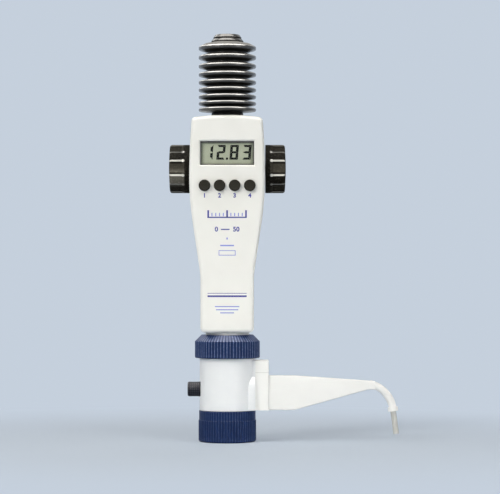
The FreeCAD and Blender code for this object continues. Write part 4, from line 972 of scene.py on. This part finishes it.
def display_figures():
    face = low("display_module").y
    thickness = 0.09
    foot_z = 255.25
    places = (("1", -20.9), ("2", -9.8), ("8", 2.05), ("3", 13.5))
    mesh = bmesh.new()

    def lay(outline, left):
        slanted = [(left + x + z * figure_slant, foot_z + z) for x, z in outline]
        slab(mesh, slanted, face - thickness, face)

    for figure, left in places:
        for name in segment_names[figure]:
            lay(segment_outline(name), left)
    point_left, point_size = -1.2, 1.9
    lay(rectangle(0, point_size, 0, point_size), point_left)
    piece("display_figures", mesh, "ink", "head")


# Printing on the front: plain numbers and a plain scale

def lettering(text, size, x, z):
    """Mesh of plain figures on the housing's front, from a text curve that is then removed."""
    capital_share, boldness = 0.72, 0.045
    curve = bpy.data.curves.new("figures", "FONT")
    curve.body = text
    curve.size = size / capital_share
    curve.align_x = curve.align_y = "CENTER"
    curve.offset = size * boldness
    curve.extrude = print_proud / 2
    holder = bpy.data.objects.new("figures", curve)
    show(holder)
    bpy.context.view_layer.update()
    graph = bpy.context.evaluated_depsgraph_get()
    data = bpy.data.meshes.new_from_object(holder.evaluated_get(graph))
    bpy.data.objects.remove(holder)
    bpy.data.curves.remove(curve)
    data.transform(placed(x, low("front_cover").y - print_proud / 2, z, 1, "X"))
    return data


def printed(name, ink, texts=(), bars=()):
    """One print: figures as (text, size, x, z) and bars as (x0, x1, z0, z1)."""
    mesh = bmesh.new()
    for text, size, x, z in texts:
        data = lettering(text, size, x, z)
        mesh.from_mesh(data)
        bpy.data.meshes.remove(data)
    face = low("front_cover").y
    for limits in bars:
        slab(mesh, rectangle(*limits), face - print_proud, face + print_proud / 2)
    piece(name, mesh, ink, "head")


def centred(half_length, foot, height):
    """A bar (x0, x1, z0, z1) across the middle of the front."""
    return -half_length, half_length, foot, foot + height


def front_printing():
    number_size, number_drop = 3.9, 9.3
    key_numbers = []
    for index in range(1, 5):
        centre = middle("button_%d" % index)
        key_numbers.append((str(index), number_size, centre.x, centre.z - number_drop))
    printed("key_numbers", "blue", texts=key_numbers)

    scale_low, half_scale, divisions, rule = 202.6, 17.0, 10, 1.1
    long_half, long_tick, short_half, short_foot, short_top = 0.75, 7.0, 0.45, 0.4, 4.6
    short_low, short_high = scale_low + rule + short_foot, scale_low + short_top
    ticks, short_ticks = [], []
    for index in range(divisions + 1):
        x = half_scale * (2 * index / divisions - 1)
        if index % 5 == 0:
            ticks.append((x - long_half, x + long_half, scale_low, scale_low + long_tick))
        else:
            short_ticks.append((x - short_half, x + short_half, short_low, short_high))
    ticks.append(centred(half_scale, scale_low, rule))
    printed("scale_ticks", "blue", bars=ticks)
    printed("scale_short_ticks", "pale_blue", bars=short_ticks)

    size, z = 4.2, 192.3
    printed("scale_numbers", "blue", texts=[("0", size, -9.6, z), ("50", size, 8.2, z)],
            bars=[(-5.6, 2.2, z - 0.5, z + 0.5)])

    box_half, box_low, box_high, box_line = 7.6, 168.8, 173.5, 0.6
    printed("small_marks", "pale_blue", bars=[
        centred(0.6, 183.2, 1.8), centred(6.2, 177.2, 1.2), centred(box_half, box_low, box_line),
        centred(box_half, box_high - box_line, box_line), (-box_half, box_line - box_half, box_low, box_high),
        (box_half - box_line, box_half, box_low, box_high)])

    rule_half, rule_z, thick_rule, thin_rule, thin_rise = 17.6, 131.5, 1.5, 0.5, 3.1
    printed("lower_rules", "blue", bars=[
        centred(rule_half, rule_z, thick_rule), centred(rule_half, rule_z + thin_rise, thin_rule)])
    small_rule = 0.9
    printed("address_rules", "pale_blue", bars=[
        centred(11.0, 122.4, small_rule), centred(10.0, 119.6, small_rule), centred(6.2, 116.8, small_rule)])


# Rear: screws with hexagon sockets, grip bars on the battery lid

def case_screws():
    head, socket, depth, head_height = 2.05, 1.15, 1.1, 1.55
    shank, shank_front, point_front, play = 1.2, 7.5, 8.0, 0.1
    flat = math.pi / 6
    mesh = bmesh.new()
    for x, y, z in screw_centres("case_screws"):
        place = placed(x, y, z, -1, "X")

        def surface(reach, height, angle):
            if abs(reach - socket) > play:
                return reach
            side = (angle + flat) % (2 * flat) - flat
            return reach * math.cos(flat) / math.cos(side)

        corners = [
            (0, -depth, 0), (socket, -depth, 0), (socket, 0, 0), (head, 0, 0.35), (head, -head_height, 0.1),
            (shank, -head_height, 0), (shank, -y - shank_front, 0), (0, -y - point_front, 0)]
        spun(mesh, eased(corners, closed=False, steps=3), 48, surface, place, closed=False)
    piece("case_screws_socketed", mesh, "steel", "head", ["case_screws"])


def screw_centres(node):
    """Centre of each screw's outer face, from the separate solids of the node."""
    mesh = bmesh.new()
    mesh.from_mesh(nodes[node].data)
    bmesh.ops.remove_doubles(mesh, verts=mesh.verts, dist=1e-6)
    left = set(mesh.verts)
    centres = []
    while left:
        island = [left.pop()]
        found = set(island)
        while island:
            for edge in island.pop().link_edges:
                for vert in edge.verts:
                    if vert not in found:
                        found.add(vert)
                        left.discard(vert)
                        island.append(vert)
        xs = [vert.co.x for vert in found]
        zs = [vert.co.z for vert in found]
        rear = max(vert.co.y for vert in found)
        centres.append(((min(xs) + max(xs)) / 2 / MM, rear / MM, (min(zs) + max(zs)) / 2 / MM))
    mesh.free()
    return sorted(centres)


def lid_grip():
    """Three rounded bars in the thumb recess of the battery lid."""
    top = high("battery_cover")
    recess_depth, recess_drop, root, inset, bevel = 0.7, 10.0, 0.1, 0.25, 0.15
    pitch, bar_radius, end_steps = 2.2, 0.42, 6
    mesh = bmesh.new()
    for offset, half in ((-pitch, 3.4), (0, 4.1), (pitch, 3.4)):
        bar_z = top.z - recess_drop + offset
        outline = []
        for end in (1, -1):
            for step in range(end_steps + 1):
                angle = math.pi * (step / end_steps - 0.5 * end)
                bar_x = end * half + bar_radius * math.cos(angle)
                outline.append((bar_x, bar_z + bar_radius * math.sin(angle)))
        slab(mesh, outline, top.y - recess_depth - root, top.y - inset)
    outer = [edge for edge in mesh.edges if all(vert.co.y > top.y - inset - 0.05 for vert in edge.verts)]
    bmesh.ops.bevel(mesh, geom=outer, offset=bevel, segments=2, affect="EDGES")
    piece("battery_cover_grip", mesh, "shell", "battery_lid")


bottle_nut()
thread_ridge()
coupling_nut()
side_knob()
hand_wheels()
wheel_caps()
bellows()
bellows_ends()
keys()
display_pane()
display_gasket()
display_figures()
front_printing()
case_screws()
lid_grip()


# Stage: floor, light and camera

def stage_floor():
    """Pale floor that keeps the shadow near the object and meets the pale surroundings far away."""
    half = 30.0
    data = bpy.data.meshes.new("floor")
    data.from_pydata([(x, y, 0) for x, y in rectangle(-half, half, -half, half)], [], [(0, 1, 2, 3)])
    floor = bpy.data.objects.new("floor", data)
    show(floor)
    finish = Finish("floor_paint", 0.0, Base_Color=backdrop_colour + (1,), Roughness=0.9)
    away = finish.node("VectorMath", {"operation": "LENGTH"}, finish.point)
    near = 1 - finish.ramp(away, floor_near / MM, floor_far / MM)
    glow = finish.node("Emission", {}, backdrop_colour + (1,), 1.0)
    share = finish.seen() * (1 - near * floor_shade_share)
    mixed = finish.node("MixShader", {}, share, finish.shader.outputs["BSDF"], glow)
    finish.link(mixed, finish.tree.nodes["Material Output"].inputs["Surface"])
    data.materials.append(finish.material)


def surroundings():
    """Plain pale surroundings for the camera, gloss and glass, and plain white light for the rest."""
    world = bpy.data.worlds.new("studio")
    bpy.context.scene.world = world
    world.use_nodes = True
    world.node_tree.nodes.clear()
    graph = Graph(world.node_tree)
    light = graph.node("Background", {}, (1, 1, 1, 1), world_light)
    backdrop = graph.node("Background", {}, backdrop_colour + (1,), 1.0)
    mixed = graph.node("MixShader", {}, graph.seen(), light, backdrop)
    graph.node("OutputWorld", {}, mixed)


def softbox(name, place, target, size, power, lit="both", spread=180):
    """Warm area light for "matt" surfaces, for "gloss" or for "both", spread over an angle in degrees."""
    data = bpy.data.lights.new(name, "AREA")
    data.spread = math.radians(spread)
    data.shape = "RECTANGLE"
    data.size, data.size_y = size
    data.energy = power
    data.color = lamp_colour
    lamp = bpy.data.objects.new(name, data)
    lamp.visible_diffuse = lit != "gloss"
    lamp.visible_glossy = lit != "matt"
    lamp.visible_camera = False
    lamp.location = place
    lamp.rotation_mode = "QUATERNION"
    lamp.rotation_quaternion = (Vector(target) - Vector(place)).to_track_quat("-Z", "Y")
    show(lamp)


def camera():
    """Camera at the photograph's angle: a little below the object's middle, aimed slightly upwards."""
    data = bpy.data.cameras.new("camera")
    data.sensor_width = 36.0
    data.lens = data.sensor_width / picture_width * camera_distance / (pixel_size * MM)
    data.clip_start, data.clip_end = 0.05, 100
    holder = bpy.data.objects.new("camera", data)
    aim = Vector((picture_centre_x * MM, 0, picture_centre_z * MM))
    holder.location = (aim.x, -camera_distance, camera_height)
    holder.rotation_mode = "QUATERNION"
    holder.rotation_quaternion = (aim - holder.location).to_track_quat("-Z", "Y")
    show(holder)
    bpy.context.scene.camera = holder


backdrop_colour = (0.56, 0.63, 0.72)
floor_near, floor_far, floor_shade_share = 0.12, 0.55, 0.75
world_light = 0.34
lamp_colour = (1.0, 0.965, 0.90)
picture_width, pixel_size = 500, 0.91
picture_centre_x, picture_centre_z = 20.6, 176.8
camera_distance, camera_height = 2.0, 0.15

stage_floor()
surroundings()
softbox("key_light", (-0.95, -1.25, 1.05), (0, 0, 0.18), (0.55, 0.75), 15.8)
softbox("low_light", (0.75, -1.35, 0.35), (0.03, 0, 0.02), (0.3, 0.3), 0.058, "matt", spread=12)
softbox("fill_light", (1.25, -1.3, 0.55), (0, 0, 0.2), (0.5, 1.1), 4.8)
softbox("top_light", (0.0, -0.55, 1.25), (0, 0, 0.25), (1.1, 0.5), 3.4)
softbox("rear_light", (0.5, 1.4, 0.9), (0, 0, 0.2), (1.2, 1.0), 6, "matt")
softbox("sheen_panel", (-0.05, -0.3, 1.25), (0, 0, 0.3), (3.4, 0.9), 300, "gloss")
softbox("left_sheen", (-0.75, 0.75, 1.15), (0, 0, 0.32), (0.9, 0.9), 14, "gloss")
softbox("right_sheen", (0.75, 0.75, 1.15), (0, 0, 0.32), (0.9, 0.9), 4, "gloss")
softbox("front_sheen", (-0.25, -1.6, 1.0), (0, 0, 0.27), (2.2, 0.4), 13, "gloss")
camera()
bpy.context.scene.view_settings.view_transform = "Standard"
